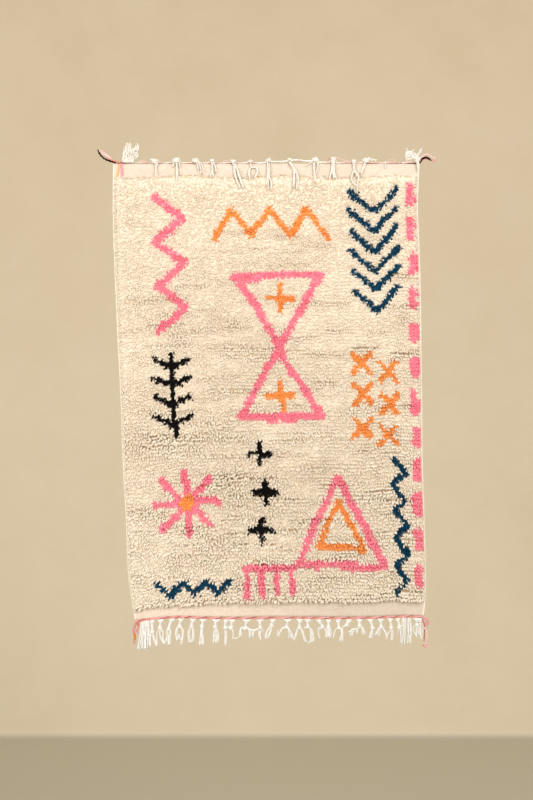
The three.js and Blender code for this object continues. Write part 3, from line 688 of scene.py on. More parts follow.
def pile_piece(name, chosen, ends, yarn):
    """One mesh of the chosen yarn ends."""
    root, middle, tip, radius, _, tint = (part[chosen] for part in ends)
    count = len(root)
    rng = np.random.default_rng(count)
    spin = rng.uniform(0, 2 * math.pi, count)
    points = [root]
    for t, swell in END_RINGS:
        point, heading = end_section(t, root, middle, tip)
        u = np.array([1.0, 0, 0]) - heading[:, :1] * heading
        u /= np.linalg.norm(u, axis=-1, keepdims=True)
        v = np.cross(heading, u)
        for k in range(END_SIDES):
            angle = spin + k / END_SIDES * 2 * math.pi
            wide = (radius * swell * rng.uniform(0.8, 1.18, count))[:, None]
            ragged = rng.normal(0, 0.4, count)[:, None] * heading
            points.append(point + ragged + wide * (np.cos(angle)[:, None] * u + np.sin(angle)[:, None] * v))
    apex, heading = end_section(1.0, root, middle, tip)
    points.append(apex + heading * rng.uniform(0.6, 2.0, count)[:, None] + rng.normal(0, 0.5, (count, 3)))
    points = np.stack(points, 1)
    faces, corners = end_faces()
    each = points.shape[1]
    all_faces = (faces[None] + (np.arange(count) * each)[:, None, None]).reshape(-1, 3)
    places, size = cells(count)
    all_corners = places[:, None, None] + corners[None] * size
    # Painted shade at each end's root and a little painted light at its tip, taken off the end's tint.
    foot = np.repeat(END_ROOT_SHADE, [1, END_SIDES, END_SIDES, 1])
    tints = np.clip(tint[:, None] - foot, 0, 1).ravel()
    material, slot = PILE_WOOL[yarn], f"pile_{yarn}"
    return new_piece(name, points.reshape(-1, 3), all_faces, material, slot, tints, all_corners)


def make_pile():
    ends = pile_ends()
    roots, yarn = ends[0], ends[4]
    cream = np.flatnonzero(yarn == 0)
    cream = cream[np.argsort(roots[cream, 0])]
    pieces = []
    for k, part in enumerate(np.array_split(cream, CREAM_PIECES)):
        pieces.append(pile_piece(f"pile_cream_{k + 1}", part, ends, "cream"))
    for index, name in enumerate(YARNS[1:], 1):
        pieces.append(pile_piece(f"pile_{name}", np.flatnonzero(yarn == index), ends, name))
    return pieces


# The woven cloth, with its kelim bands in front and the knots' backs behind.
BAND_LINES = 7
BACK_OUT = 0.3
WEFT_SUNK = 0.9
BED_DEEP = (2.0, 6.2)
BED_RIM = 9
PARTING_DEEP = 6.0
# Painted shade that darkens the pile's foot in its partings.
PARTING_PAINTED_SHADE = np.array([0.72, 0.61, 0.48, 1.0])
SELVEDGE_LINES = np.array([0.0, 0.004])


def cloth_lines():
    """The cloth's cross lines, from its top edge down: drop, and the knot row of each or -1."""
    inner = np.linspace(SELVEDGE_SHARE, 1 - SELVEDGE_SHARE, KNOTS + 1)
    across = np.concatenate([SELVEDGE_LINES, inner, 1 - SELVEDGE_LINES[::-1]])
    start, end = pile_span(across)
    lines = [(start * k / BAND_LINES, -1) for k in range(BAND_LINES)]
    for row in range(ROWS):
        lines.append((mix(start, end, row / ROWS), -1))
        lines.append((mix(start, end, (row + 0.5) / ROWS), row))
    ends = cloth_end(across)
    lines += [(mix(end, ends, k / BAND_LINES), -1) for k in range(BAND_LINES + 1)]
    return across, lines


def knot_colours(across, yarn, shade):
    """The colour at each place along a row of knots, between its yarn's two shades by the given tint."""
    column = np.clip((field_share(across) * KNOTS).astype(int), 0, KNOTS - 1)
    shades = np.array(list(YARN_SHADES.values()))[yarn[column]]
    return mix(shades[:, 0], shades[:, 1], np.broadcast_to(shade, len(shades))[:, None])


def band_colour(across, drop):
    """The plain bands' colour: soft patches over both bands, and the lower band a little darker towards the
    right, stand partly for soiling and partly for painted shade of folds.
    """
    # Soiling together with painted shade of folds.
    soil_and_shade = 0.14 * np.clip(across * 2 - 0.7, -0.3, 0.8) * np.clip(drop / 500 - 1, 0, 1)
    tone = 1 - soil_and_shade + 0.03 * patches(across * CLOTH_WIDE, drop, (110, 16), 44)
    return np.array(KELIM_LIGHT) * np.stack([tone, tone, tone, tone * 0 + 1], -1)


def pile_bed(x, drop):
    """The top of the pile's dense foot, its tint, which is darker where the pile is shaggy as painted shade
    in the deeper gaps, and how far the pile is parted.
    """
    shag = shagginess(x, drop)
    loose = np.clip(0.72 + 0.5 * patches(x, drop, (150, 42), 45), 0.3, 1.2)
    high = pile_height(x, drop) + TIP_PAST - mix(*BED_DEEP, shag**1.3 * loose)
    gap = 0 * x
    for under, gape in partings(x, drop):
        gap = np.maximum(gap, gape * np.exp(-((under / 5) ** 2)))
    # The tint falls where the pile is shaggy: painted shade in the deeper gaps.
    return high - PARTING_DEEP * gap, 0.54 - 0.26 * shag * loose, gap


def cloth_back(across, lines, yarn):
    """Points and colours of the back: plain bands, and the knots' backs between sunk wefts."""
    points, colours = [], []
    for drop, row in lines:
        sunk = WEFT_SUNK if row < 0 else 0.0
        grain = 0.35 * patches(across * CLOTH_WIDE, drop, 7, 41)
        points.append(on_cloth(across, drop, sunk + BACK_OUT + grain))
        colours.append(band_colour(across, drop) if row < 0 else knot_colours(across, yarn[row], 0.9))
    return points, colours


def cloth_front(across, lines, kept, yarn):
    """Points, colours and flatness of the front: the plain bands, and between them the pile's foot, whose
    colour holds painted shade in the gaps and partings.
    """
    first, last = BAND_LINES, len(lines) - BAND_LINES - 1
    edge = np.minimum(across, 1 - across) * CLOTH_WIDE - SELVEDGE_WIDE
    points, colours, flatness = [], [], []
    for k in kept:
        drop, row = lines[k]
        x = x_at(across, drop)
        high, shade, gap = pile_bed(x, drop)
        inside = np.minimum(np.minimum(drop - lines[first][0], lines[last][0] - drop), edge)
        rise = np.clip(inside / BED_RIM, 0, 1)
        foot = (high - KELIM_THICK + 0.9 * patches(across * CLOTH_WIDE, drop, 12, 43)) * rise
        wave = mix(0.5, 1.1, drop / 1500) * patches(across * CLOTH_WIDE, drop, (70, 14), 42)
        points.append(on_cloth(across, drop, KELIM_THICK + wave * (edge > 0) + foot))
        plain = band_colour(across, drop)
        if row < 0:
            row = 0 if k == first else ROWS - 1
        dyed_and_shaded = knot_colours(across, yarn[row], shade) if first <= k <= last else plain
        # Painted shade in the partings.
        dyed_and_shaded = dyed_and_shaded * mix((1, 1, 1, 1), PARTING_PAINTED_SHADE, np.clip(gap, 0, 1)[:, None])
        colours.append(np.where((rise > 0)[:, None], dyed_and_shaded, plain))
        flatness.append(1.0 - (rise > 0))
    return points, colours, flatness


def grid_faces(grid):
    corners = (grid[:-1, :-1], grid[:-1, 1:], grid[1:, 1:], grid[1:, :-1])
    return [tuple(map(int, face)) for face in np.stack([corner.ravel() for corner in corners], -1)]


def cloth_faces(rows, columns, kept):
    """The faces of the back, the front, the two side edges, and the top and bottom edges."""
    behind = np.arange(rows * columns).reshape(rows, columns)
    ahead = rows * columns + np.arange(len(kept) * columns).reshape(len(kept), columns)
    faces = grid_faces(behind) + grid_faces(ahead[:, ::-1])
    for n, (j, below) in enumerate(zip(kept[:-1], kept[1:])):
        for column, step in ((0, 1), (columns - 1, -1)):
            face = [ahead[n, column], *behind[j : below + 1, column], ahead[n + 1, column]]
            faces.append(tuple(face[::step]))
    for line, side, step in ((0, ahead[0], -1), (rows - 1, ahead[-1], 1)):
        for i in range(columns - 1):
            faces.append((side[i], behind[line, i], behind[line, i + 1], side[i + 1])[::step])
    return faces


def make_cloth():
    """A closed cloth, whose front has a line for each one of the bands and each row of knots."""
    across, lines = cloth_lines()
    rows, columns = len(lines), len(across)
    bands = [*range(BAND_LINES + 1), *range(rows - BAND_LINES - 1, rows)]
    kept = [k for k in range(rows) if k in bands or lines[k][1] >= 0]
    yarn = knot_grid()[3]
    back_points, back_colours = cloth_back(across, lines, yarn)
    points, colours, flatness = cloth_front(across, lines, kept, yarn)
    points, colours = np.concatenate(back_points + points), np.concatenate(back_colours + colours)
    flatness = np.concatenate([np.ones(rows * columns), *flatness])
    faces = cloth_faces(rows, columns, kept)
    cloth = new_piece("woven_cloth", points, faces, kelim_material(), "kelim_cream", flatness)
    # The colour attribute holds the knots' and bands' colours, with painted shade in the pile's gaps and
    # partings.
    layer = cloth.data.color_attributes.new("dye_and_shade", "FLOAT_COLOR", "POINT")
    layer.data.foreach_set("color", np.asarray(colours, np.float32).ravel())
    return cloth


def kelim_material():
    """Flat-woven wool: uneven weft ribs over warps. Behind the pile it shows the knots' colours, with
    painted shade in the gaps and partings of the pile.
    """
    made = Nodes("kelim_wool")
    place = made.place()
    stretch = made.node("ShaderNodeMapping", {"Vector": place, "Scale": (60.0, 60.0, 260.0)})
    slub = made.ramp(made.noise(stretch.outputs["Vector"], 1.0, 3.0), 0.32, 0.7)
    streaked = made.blend(slub, (0.88, 0.84, 0.79, 1.0), (1.0, 1.0, 1.0, 1.0))
    ribs = made.bands(place, "Z", **{"Scale": 130.0, "Distortion": 1.2, "Detail": 2.0, "Detail Scale": 2.0})
    warps = made.bands(place, "X", Scale=70.0, Distortion=0.8, Detail=1.0)
    weave = made.node("ShaderNodeMath", {0: ribs, 1: warps}, operation="ADD").outputs[0]
    relief = made.blend(made.attribute("tint"), made.noise(place, 300.0, 4.0), weave)
    return made.finish({
        "Base Color": made.blend(1.0, made.attribute("dye_and_shade", "Color"), streaked, "MULTIPLY"),
        "Normal": made.bump(relief, 0.45, 0.0009),
        "Roughness": 0.92,
        "Specular IOR Level": 0.15,
        "Sheen Weight": 0.2,
        "Sheen Roughness": 0.5,
    })


# Selvedges: each side edge is overcast with yarn.
SELVEDGE_STEP = 3.4
SELVEDGE_IN = 2.9


def make_selvedges():
    yarns = Yarns()
    for across, inwards in ((0.0, 1), (1.0, -1)):
        end = float(cloth_end(across))
        drops = np.arange(0.5, end - 0.5, SELVEDGE_STEP)
        path = on_cloth(across, drops, SELVEDGE_IN, inwards * SELVEDGE_IN)
        wrap = 2.75 + 0.4 * (np.arange(len(drops)) % 2) + 0.3 * patches(drops, drops * 0, 25, 51)
        yarns.add(path, wrap, sides=8, tint=0.7)
    return yarns.make("selvedges", SELVEDGE_WOOL, "kelim_cream")


# The two edge cords: yarns twined round each other, with loose ends.
BOTTOM_DROP = 1517
CORD_STEP = 2.2
CORD_BUMP = 9.5


def top_edge(x):
    across = across_at(x, np.zeros_like(np.asarray(x, float)))
    return np.stack([x, 0 * x - CORD_OUT, top_rise(across) + CORD_PAST], -1)


def bottom_edge(x, out=0.0, past=0.0):
    across = np.clip(across_at(x, np.full_like(np.asarray(x, float), BOTTOM_DROP)), 0, 1)
    drop = cloth_end(across)
    return np.stack([x, -lift(across, drop) - out, -drop - past], -1)


def cord_below(x):
    return bottom_edge(x, CORD_OUT, CORD_PAST)


def twined(path, pitch, count, index, spread, step, swing=0.0):
    """The path of one of count strands that wind round a cord."""
    _, u, v = steady_frames(path)
    angle = np.arange(len(path)) * step / pitch * 2 * math.pi + index / count * 2 * math.pi + swing
    return path + spread * (np.cos(angle)[:, None] * u + np.sin(angle)[:, None] * v)


def make_cord(name, start, stop, edge, pitch, strands, loose_ends):
    """Strands that are twined along an edge, and their loose ends: a piece for each colour."""
    x = np.arange(start, stop, CORD_STEP)
    line = edge(x)
    line[:, 2] += 0.5 * patches(x, x * 0, 45, 61)
    swing = 2.2 * patches(x, x * 0, 1.6 * pitch, 62)
    pieces = []
    for index, label in enumerate(dict.fromkeys([*strands, *loose_ends])):
        yarns = Yarns()
        if label in strands:
            widths, spread, sag = strands[label]
            places, radii = zip(*widths)
            lumps = 0.2 * patches(x, x * 0, 5.5, 63 + index)
            bumps = lumps + 0.18 * np.sin(x * 2 * math.pi / CORD_BUMP + 2.1 * index)
            radius = np.interp(x, places, radii) * (1 + bumps)
            path = twined(line, pitch, len(strands), index, spread, CORD_STEP, swing)
            path = path - (0, 0.3 * sag, sag)
            yarns.add(path, radius, sides=6, turn=0.35, lobe=0.85, tint=0.5 + 0.3 * math.cos(index))
        for points, radius in loose_ends.get(label, []):
            path = smooth_path(points, 7)
            way = np.linspace(0, 1, len(path))
            thin = np.interp(way, [0, 0.15, 0.8, 1], [0.7, 1, 0.95, 0.6]) * radius
            yarns.add(twined(path, 11.0, 2, 0, 0.6, 2.5), thin, sides=7, turn=0.8, lobe=0.75, tint=0.5)
        pieces.append(yarns.make(f"{name}_{label}", *STRAND_WOOL[label]))
    return pieces


STRAND_WOOL = dict(
    pale=(CORD_PALE, "cord_pink"),
    pink=(CORD_PINK, "cord_pink"),
    coral=(CORD_CORAL, "cord_pink"),
    red=(CORD_RED, "cord_pink"),
    white=(WARP_WOOL, "warp_white"),
    dark=(CORD_DARK, "cord_dark"),
    orange=(PILE_WOOL["orange"], "pile_orange"),
)
# A strand's (place, radius) along the edge, how far it winds round the cord, and how far it sags.
TOP_STRANDS = dict(
    pale=([
        (-511, 2.0), (-465, 1.8), (-445, 1.0), (-390, 1.0), (-370, 1.5),
        (-80, 1.5), (0, 1.0), (190, 1.1), (250, 1.7), (510, 1.9),
    ], 1.0, 0.0),
    white=([
        (-511, 0.8), (-390, 1.0), (-80, 1.2), (10, 2.9), (180, 2.9), (230, 1.4), (290, 0.8), (510, 0.6),
    ], 1.0, 0.0),
    dark=([
        (-511, 0.5), (-475, 1.3), (-440, 1.2), (-415, 0.25),
        (430, 0.25), (450, 1.1), (495, 1.3), (510, 0.6),
    ], 0.6, 1.6),
    red=([
        (-511, 0.4), (-400, 0.8), (-320, 0.6), (-90, 0.6), (-40, 0.3),
        (170, 0.3), (210, 0.7), (300, 0.8), (510, 0.9),
    ], 0.6, 1.5),
)
BOTTOM_STRANDS = dict(
    pink=([(-437, 3.0), (521, 2.8)], 1.7, 0.0),
    coral=([(-437, 2.9), (521, 2.7)], 1.7, 0.0),
    red=([(-437, 1.3), (521, 1.3)], 2.3, 0.0),
)
# Loose ends and small loops: a line of points, and its radius.
TOP_LOOSE = dict(
    pale=[
        ([(-514, -6, 8), (-527, -8, 19), (-544, -9, 29), (-556, -9, 38), (-564, -8, 44)], 4.4),
        ([(-520, -7, 17), (-534, -9, 27), (-546, -9, 36), (-553, -9, 43)], 3.9),
        ([(508, -5, 4), (519, -7, 20), (536, -8, 30), (553, -9, 20), (566, -9, 16)], 3.4),
        ([(-428, -5, 4), (-420, -6, 9), (-411, -6, 9), (-403, -5, 4)], 1.2),
        ([(-147, -5, 4), (-139, -6, 10), (-130, -6, 8), (-122, -6, 11), (-113, -5, 4)], 1.3),
        ([(228, -7, 14), (238, -7, 19), (252, -7, 13), (266, -6, 9), (284, -5, 5)], 1.6),
        ([(402, -5, 4), (410, -6, 11), (418, -6, 13), (428, -6, 9), (437, -5, 4)], 1.3),
    ],
    dark=[
        ([(-504, -5, 2.5), (-521, -10, 6), (-540, -14, 13.5), (-555, -14, 27), (-564, -12, 44)], 3.5),
        ([(513, -6, 0.5), (520, -9, 13), (531, -13, 18), (541, -14, 15), (550, -13, 8)], 3.8),
    ],
    pink=[
        ([(505, -4, 3), (517, -7, 9), (532, -8, 15), (552, -8, 11), (567, -8, 8)], 3.2),
        ([(205, -8, 10), (210, -9, 17), (216, -8, 14)], 2.3),
    ],
    coral=[
        ([(-500, -5, 5), (-510, -7, 8), (-522, -9, 12), (-531, -10, 16)], 3.6),
        ([(-506, -5, 3), (-492, -6, 5), (-478, -6, 4)], 2.0),
    ],
)
BOTTOM_LOOSE = dict(
    pink=[
        ([(-436, -25, -1540), (-441, -26, -1550), (-442, -27, -1562), (-439, -26, -1573)], 5.0),
        ([(-439, -26, -1587), (-441, -26, -1595), (-438, -25, -1602)], 4.6),
        ([(-428, -25, -1552), (-431, -26, -1560), (-425, -27, -1567)], 4.0),
        ([
            (516, -20, -1514.7), (528, -22, -1518), (540, -24, -1529), (535, -24, -1540), (524, -23, -1534),
        ], 3.2),
        ([
            (519, -20, -1516), (529, -23, -1524), (533, -24, -1533), (527, -24, -1542), (522, -23, -1548),
        ], 2.8),
        ([(527, -26, -1603), (534, -27, -1607), (539, -25, -1612)], 2.6),
    ],
    coral=[
        ([(-426, -23, -1530), (-433, -25, -1534), (-439, -26, -1545), (-442, -27, -1557)], 4.8),
        ([(-428, -23, -1532), (-425, -24, -1540), (-427, -25, -1552)], 3.4),
    ],
    red=[
        ([
            (517, -21, -1520), (524, -24, -1534), (526, -25, -1556), (525, -25, -1580), (524, -25, -1596),
        ], 1.9),
        ([(-434, -24, -1533), (-429, -25, -1538), (-427, -25, -1548)], 1.6),
    ],
    pale=[
        ([
            (515, -23, -1528), (522, -27, -1545), (532, -28, -1562), (534, -28, -1584), (530, -26, -1602),
        ], 2.8),
        ([(531, -26, -1600), (527, -28, -1608), (533, -28, -1614), (538, -26, -1605)], 2.5),
    ],
    orange=[
        ([(-439, -28, -1568), (-437, -29, -1578), (-439, -28, -1590)], 5.0),
        ([(519, -24, -1606), (525, -26, -1610), (530, -26, -1615)], 2.0),
    ],
)


# Fringe: warp ends gathered in tassels, knotted, and loose or looped past the knot.
# A tassel is its place along the edge, how wide it starts, where its knot is, and its tails.
# A tail is a line of (sideways, down) points from the tassel's place, and its width at each end.
LOWER_TASSELS = [
    (-381, 15, (1, 44), [([(1, 45), (7, 70), (15, 94)], 8, 10), ([(0, 45), (-7, 64), (-7, 90)], 8, 9)]),
    (-353, 20, (-2, 34), [
        ([(-3, 35), (-11, 49), (-13, 66), (-12, 93)], 7, 7),
        ([(0, 35), (-2, 58), (5, 76), (14, 88)], 7, 8), ([(1, 35), (8, 50), (8, 72), (14, 86)], 7, 7),
    ]),
    (-316, 17, (-10, 41), [
        ([(-12, 41), (-18, 53), (-16, 68), (-22, 86)], 7, 7),
        ([(-9, 41), (-4, 52), (-8, 66), (-9, 95)], 8, 12),
        ([(-12, 43), (-14, 58), (-11, 70), (-10, 94)], 6, 6),
    ]),
    (-286, 18, (-4, 32), [
        ([(-5, 33), (-13, 43), (-14, 60), (-10, 80)], 8, 11),
        ([(-3, 33), (5, 43), (7, 63), (2, 95)], 8, 9), ([(-5, 60), (-3, 78)], 9, 9),
    ]),
    (-246, 24, (-4, 31), [
        ([(-4, 32), (-12, 48), (-12, 70), (-8, 90)], 9, 12),
        ([(-3, 32), (2, 48), (2, 66), (-3, 88)], 8, 10),
    ]),
    (-212, 24, (-3, 31), [
        ([(-4, 32), (-5, 60), (-9, 95)], 11, 13), ([(-2, 32), (-3, 60), (2, 92)], 9, 9),
    ]),
    (-169, 27, (-2, 31), [
        ([(-2, 32), (-4, 55), (-4, 87)], 11, 14), ([(-1, 32), (5, 52), (6, 86)], 9, 12),
    ]),
    (-136, 14, (-2, 35), [([(-2, 36), (0, 60), (-1, 95)], 12, 7)]),
    (-115, 26, (-3, 34), [
        ([(-2, 35), (-12, 33), (-17, 38)], 8, 8), ([(-1, 36), (4, 54), (2, 72)], 5, 4),
    ]),
    (-67, 31, (-4, 36), [
        ([(-5, 36), (-17, 36), (-21, 48), (-19, 66)], 8, 11),
        ([(-20, 52), (-27, 66), (-36, 71), (-44, 69)], 5, 5),
        ([(-2, 36), (7, 37), (12, 50), (11, 68)], 8, 12),
        ([(6, 37), (18, 42), (33, 42), (41, 43)], 7, 8), ([(24, 42), (22, 54), (20, 66)], 10, 8),
    ]),
    (-22, 23, (1, 35), [
        ([(1, 37), (-1, 56), (3, 77)], 13, 6), ([(1, 36), (6, 39), (10, 45)], 5, 5),
        ([(1, 37), (-6, 39), (-12, 38)], 5, 5),
    ]),
    (21, 18, (-4, 27), [
        ([(-5, 28), (-16, 41), (-22, 57), (-24, 71)], 7, 8),
        ([(-4, 28), (-6, 43), (-13, 60), (-19, 70)], 7, 8),
    ]),
    (71, 26, (-4, 33), [
        ([(-5, 34), (-15, 36), (-24, 46), (-32, 64)], 7, 8), ([(-31, 42), (-35, 52), (-31, 66)], 6, 7),
        ([(-3, 33), (4, 42), (8, 56), (6, 70)], 8, 13), ([(7, 46), (13, 58), (16, 72)], 7, 11),
    ]),
    (111, 20, (-1, 35), [
        ([(-2, 36), (-8, 45), (-14, 62), (-20, 77)], 9, 7),
        ([(0, 36), (8, 45), (14, 66), (21, 82)], 8, 10),
    ]),
    (138, 21, (0, 32), [
        ([(-1, 33), (-8, 34), (-12, 38)], 6, 5), ([(1, 33), (11, 41), (17, 58), (19, 84)], 8, 10),
        ([(9, 42), (11, 62), (10, 86)], 6, 10), ([(14, 72), (7, 81), (0, 88)], 5, 5),
    ]),
    (176, 19, (11, 32), [
        ([(11, 33), (3, 40), (-3, 49), (2, 73)], 7, 5), ([(10, 35), (0, 36), (-6, 40)], 6, 5),
        ([(12, 34), (18, 38), (20, 44)], 5, 4),
    ]),
    (207, 15, (0, 31), [
        ([(-1, 32), (-6, 46), (-5, 66)], 9, 11), ([(1, 32), (6, 46), (4, 67)], 9, 11),
        ([(0, 36), (0, 66)], 8, 8),
    ]),
    (239, 18, (3, 35), [
        ([(1, 35), (-6, 39), (-13, 51), (-16, 72)], 5, 5),
        ([(5, 36), (12, 43), (13, 60), (9, 81)], 8, 15),
    ]),
    (275, 18, (-7, 24), [([(-7, 25), (-17, 30), (-21, 38), (-23, 60)], 8, 5)]),
    (310, 18, (1, 29), [
        ([(0, 30), (-5, 37), (-9, 52)], 7, 8), ([(-10, 38), (-21, 45), (-29, 62)], 9, 12),
        ([(-18, 38), (-27, 44), (-36, 52)], 7, 8), ([(2, 30), (10, 37), (13, 48), (16, 58)], 7, 14),
    ]),
    (347, 20, (7, 37), [([(7, 38), (4, 53), (0, 72)], 8, 14)]),
    (381, 21, (2, 33), [
        ([(1, 34), (-6, 45), (-12, 64)], 11, 18), ([(4, 35), (12, 46), (17, 58), (21, 72)], 6, 10),
    ]),
    (413, 17, (3, 36), [([(4, 37), (7, 56), (4, 81)], 9, 8), ([(2, 44), (-6, 54), (-12, 64)], 5, 4)]),
    (439, 14, (4, 36), [
        ([(4, 37), (0, 50), (-2, 58)], 6, 6), ([(5, 37), (8, 50), (8, 63)], 6, 6),
        ([(8, 40), (14, 46)], 4, 4),
    ]),
    (502, 28, (0, 29), [
        ([(-1, 30), (-11, 36), (-13, 46), (-1, 71)], 5, 6), ([(-2, 31), (-3, 48), (-2, 62)], 5, 5),
        ([(1, 31), (3, 48), (5, 61)], 5, 5), ([(2, 30), (8, 43), (10, 62)], 5, 5),
    ]),
]
# Bunches that aren't knotted: place, width there and at the end, reach, count of yarns, and lean.
LOWER_BUNCHES = [
    (-405, 24, 43, 104, 20, -6),
    (458, 9, 13, 97, 6, -4),
    (475, 8, 10, 97, 6, 2),
    (515, 8, 7, 80, 4, 1),
]

# Above, a tassel is its place, its knot's width and height, and its tails, in the same way.
UPPER_TASSELS = [
    (-373, 22, 13, [
        ([(-4, -8), (-10, -13), (-17, -12)], 6, 5), ([(7, -3), (10, 10)], 7, 5),
        ([(2, 0), (4, 20), (3, 42)], 9, 5),
    ]),
    (-302, 25, 19, [
        ([(-8, -6), (-10, 14)], 9, 7), ([(1, -4), (3, 28), (3, 60)], 9, 6), ([(9, -5), (14, 14)], 7, 5),
    ]),
    (-238, 22, 17, [
        ([(10, -4), (20, 26), (8, 52)], 7, 5), ([(4, -3), (12, 25)], 6, 4),
        ([(12, -5), (23, 8), (27, 34)], 6, 4),
    ]),
    (-182, 14, 16, [
        ([(0, -2), (1, 22), (-6, 48)], 9, 5), ([(1, -2), (1, 24), (6, 46)], 8, 5),
        ([(5, -4), (10, 10), (15, 29)], 6, 4),
    ]),
    (-111, 16, 11, [
        ([(1, 0), (4, 24), (10, 54), (24, 86)], 9, 7), ([(3, 0), (12, 16), (20, 45), (34, 86)], 9, 7),
        ([(2, 0), (9, 20)], 9, 8),
    ]),
    (-54, 13, 12, [
        ([(0, 0), (2, 12), (-5, 31), (-1, 57)], 8, 6),
        ([(1, 0), (5, 13), (19, 14), (24, 28), (14, 52)], 8, 6),
    ]),
    (6, 16, 14, [
        ([(-1, 0), (-2, 38), (-5, 76)], 9, 6), ([(1, 0), (1, 42), (9, 66), (10, 88)], 10, 6),
        ([(0, 20), (0, 60), (0, 90)], 7, 4),
    ]),
    (77, 13, 10, [
        ([(0, -4), (8, 6), (20, 24), (27, 52), (24, 90)], 10, 9),
        ([(0, -2), (6, 6), (14, 26), (15, 54), (12, 86)], 8, 8), ([(2, 0), (17, 20), (20, 34)], 9, 7),
    ]),
    (163, 21, 19, [
        ([(-7, -8), (-19, 1), (-31, 9)], 7, 3), ([(-5, -2), (-3, 33), (2, 67)], 9, 7),
        ([(9, -9), (8, 11), (2, 32)], 7, 5),
    ]),
    (223, 19, 19, [
        ([(-3, -6), (-6, 30), (-14, 54)], 9, 6), ([(-1, -6), (-1, 30), (1, 53)], 8, 6),
        ([(2, -6), (3, 30), (8, 53)], 8, 6),
    ]),
    (292, 13, 13, [
        ([(0, -4), (-1, 24), (-9, 50), (-2, 68), (10, 78)], 8, 6),
        ([(1, -4), (3, 26), (14, 47), (10, 76), (12, 98)], 10, 6), ([(0, -2), (1, 26)], 10, 8),
    ]),
    (334, 28, 18, [([(-2, -6), (-9, 12), (-20, 38)], 10, 6), ([(10, -9), (20, -11), (33, -10)], 9, 8)]),
    (397, 4, 4, [([(0, -2), (0, 17)], 5, 4)]),
]
# How far an upper tassel's tail hangs out from the wall plane, at each depth below the edge.
FALL = dict(drop=[-6, 12, 26, 46, 64, 110], out=[9.0, 7.6, 8.6, 20, 23, 25])
FOOT_YARNS = 9
NECK_YARN = 2.9
NECK_WIDE = 11.0
NECK_PITCH = 27.0
TAIL_YARN = 2.1


def wind(yarns, rng, points, wide, yarn=TAIL_YARN, turns=0.35, steps=6, ends=(0.9, 0.65), flat=1.8):
    """Yarns that lie and wind loosely along a line, together as wide as wide says at each end."""
    line = smooth_path(points, steps)
    way = np.concatenate([[0], np.cumsum(np.linalg.norm(np.diff(line, axis=0), axis=1))])
    way /= way[-1]
    _, u, v = steady_frames(line)
    spread = np.maximum(mix(wide[0], wide[1], way) - 2 * yarn, 0.6) / 2
    count = max(2, round(max(wide) / 3.1))
    start = rng.uniform(0, 0.3)
    for k in range(count):
        angle = (k / count + start + turns * way) * 2 * math.pi + rng.normal(0, 0.15)
        path = line + (spread * np.cos(angle))[:, None] * u
        path = path + (np.minimum(spread, flat) * np.sin(angle))[:, None] * v
        path[-1] += rng.normal(0, 1.3, 3)
        thick = np.interp(way, [0, 0.15, 0.85, 1], [ends[0], 1, 1.05, ends[1]]) * yarn
        thick = thick * rng.uniform(0.88, 1.12)
        yarns.add(path, thick, sides=5, turn=0.9, lobe=0.8, tint=rng.uniform(0.3, 1))


def wrap_knot(yarns, rng, centre, wide, deep, radius, turns=2.0, tilt=1.2):
    """A yarn wound round a tassel."""
    angle = np.linspace(0, turns * 2 * math.pi, int(turns * 12) + 1) + rng.uniform(0, 6)
    rise = np.linspace(1, -1, len(angle)) * turns * radius * 0.85
    ring = np.stack([np.cos(angle) * wide, np.sin(angle) * deep, rise + tilt * np.sin(angle)], -1)
    yarns.add(np.array(centre) + ring, radius, sides=6, turn=0.8, lobe=0.85, tint=rng.uniform(0.5, 0.9))


def ring_knot(yarns, rng, centre, wide, high, radius, lean):
    """A loop of yarn that stands in a knot."""
    angle = np.linspace(0, 2.15 * math.pi, 20) + rng.uniform(0, 6)
    across, up = np.cos(angle), np.sin(angle)
    ring = np.stack([across * wide, 0.5 * lean * across, up * high + lean * across], -1)
    yarns.add(np.array(centre) + ring, radius, sides=6, turn=0.8, lobe=0.8, tint=rng.uniform(0.5, 1))


def edge_point(x):
    """The point of the cloth's lower edge at x."""
    return bottom_edge(np.array([float(x)]))[0]


def add_lower_tassel(yarns, rng, x, foot, knot, tails):
    """Warp ends that gather below the edge, wind round each other down to a knot, and end in tails."""
    base = edge_point(x)
    knot_x, knot_down = knot
    for share in np.linspace(-0.5, 0.5, FOOT_YARNS):
        root = edge_point(x + share * foot * 1.25)
        points = [
            root + (0, -STRIP_OUT, -2.0),
            mix(root, base, 0.25) + (0, -STRIP_OUT - 0.8, -7.0),
            base + (share * 9, -3.6 - 1.2 * math.cos(share * 9), -12.5 - abs(share) * 3),
            base + (share * 4 + knot_x * 0.3, -4, -19),
        ]
        wind(yarns, rng, points, (2.5, 2), 2.15, steps=3, ends=(0.85, 0.9))
    neck = [(0, 13), (knot_x * 0.3, 20), (knot_x * 0.65, knot_down * 0.7), (knot_x, knot_down + 2)]
    points = [base + (side, -4.4, -down) for side, down in neck]
    turns = knot_down / NECK_PITCH
    wind(yarns, rng, points, (NECK_WIDE, NECK_WIDE), NECK_YARN, turns, 7, (0.75, 1.0), flat=2.6)
    wrap_knot(yarns, rng, base + (knot_x, -4.6, -knot_down), 5.4, 4.6, 2.1)
    for k, (tail, *wide) in enumerate(tails):
        points = [base + (side, -4.0 - 1.3 * (k % 3), -down) for side, down in tail]
        wind(yarns, rng, points, wide, turns=rng.uniform(0.2, 0.5))


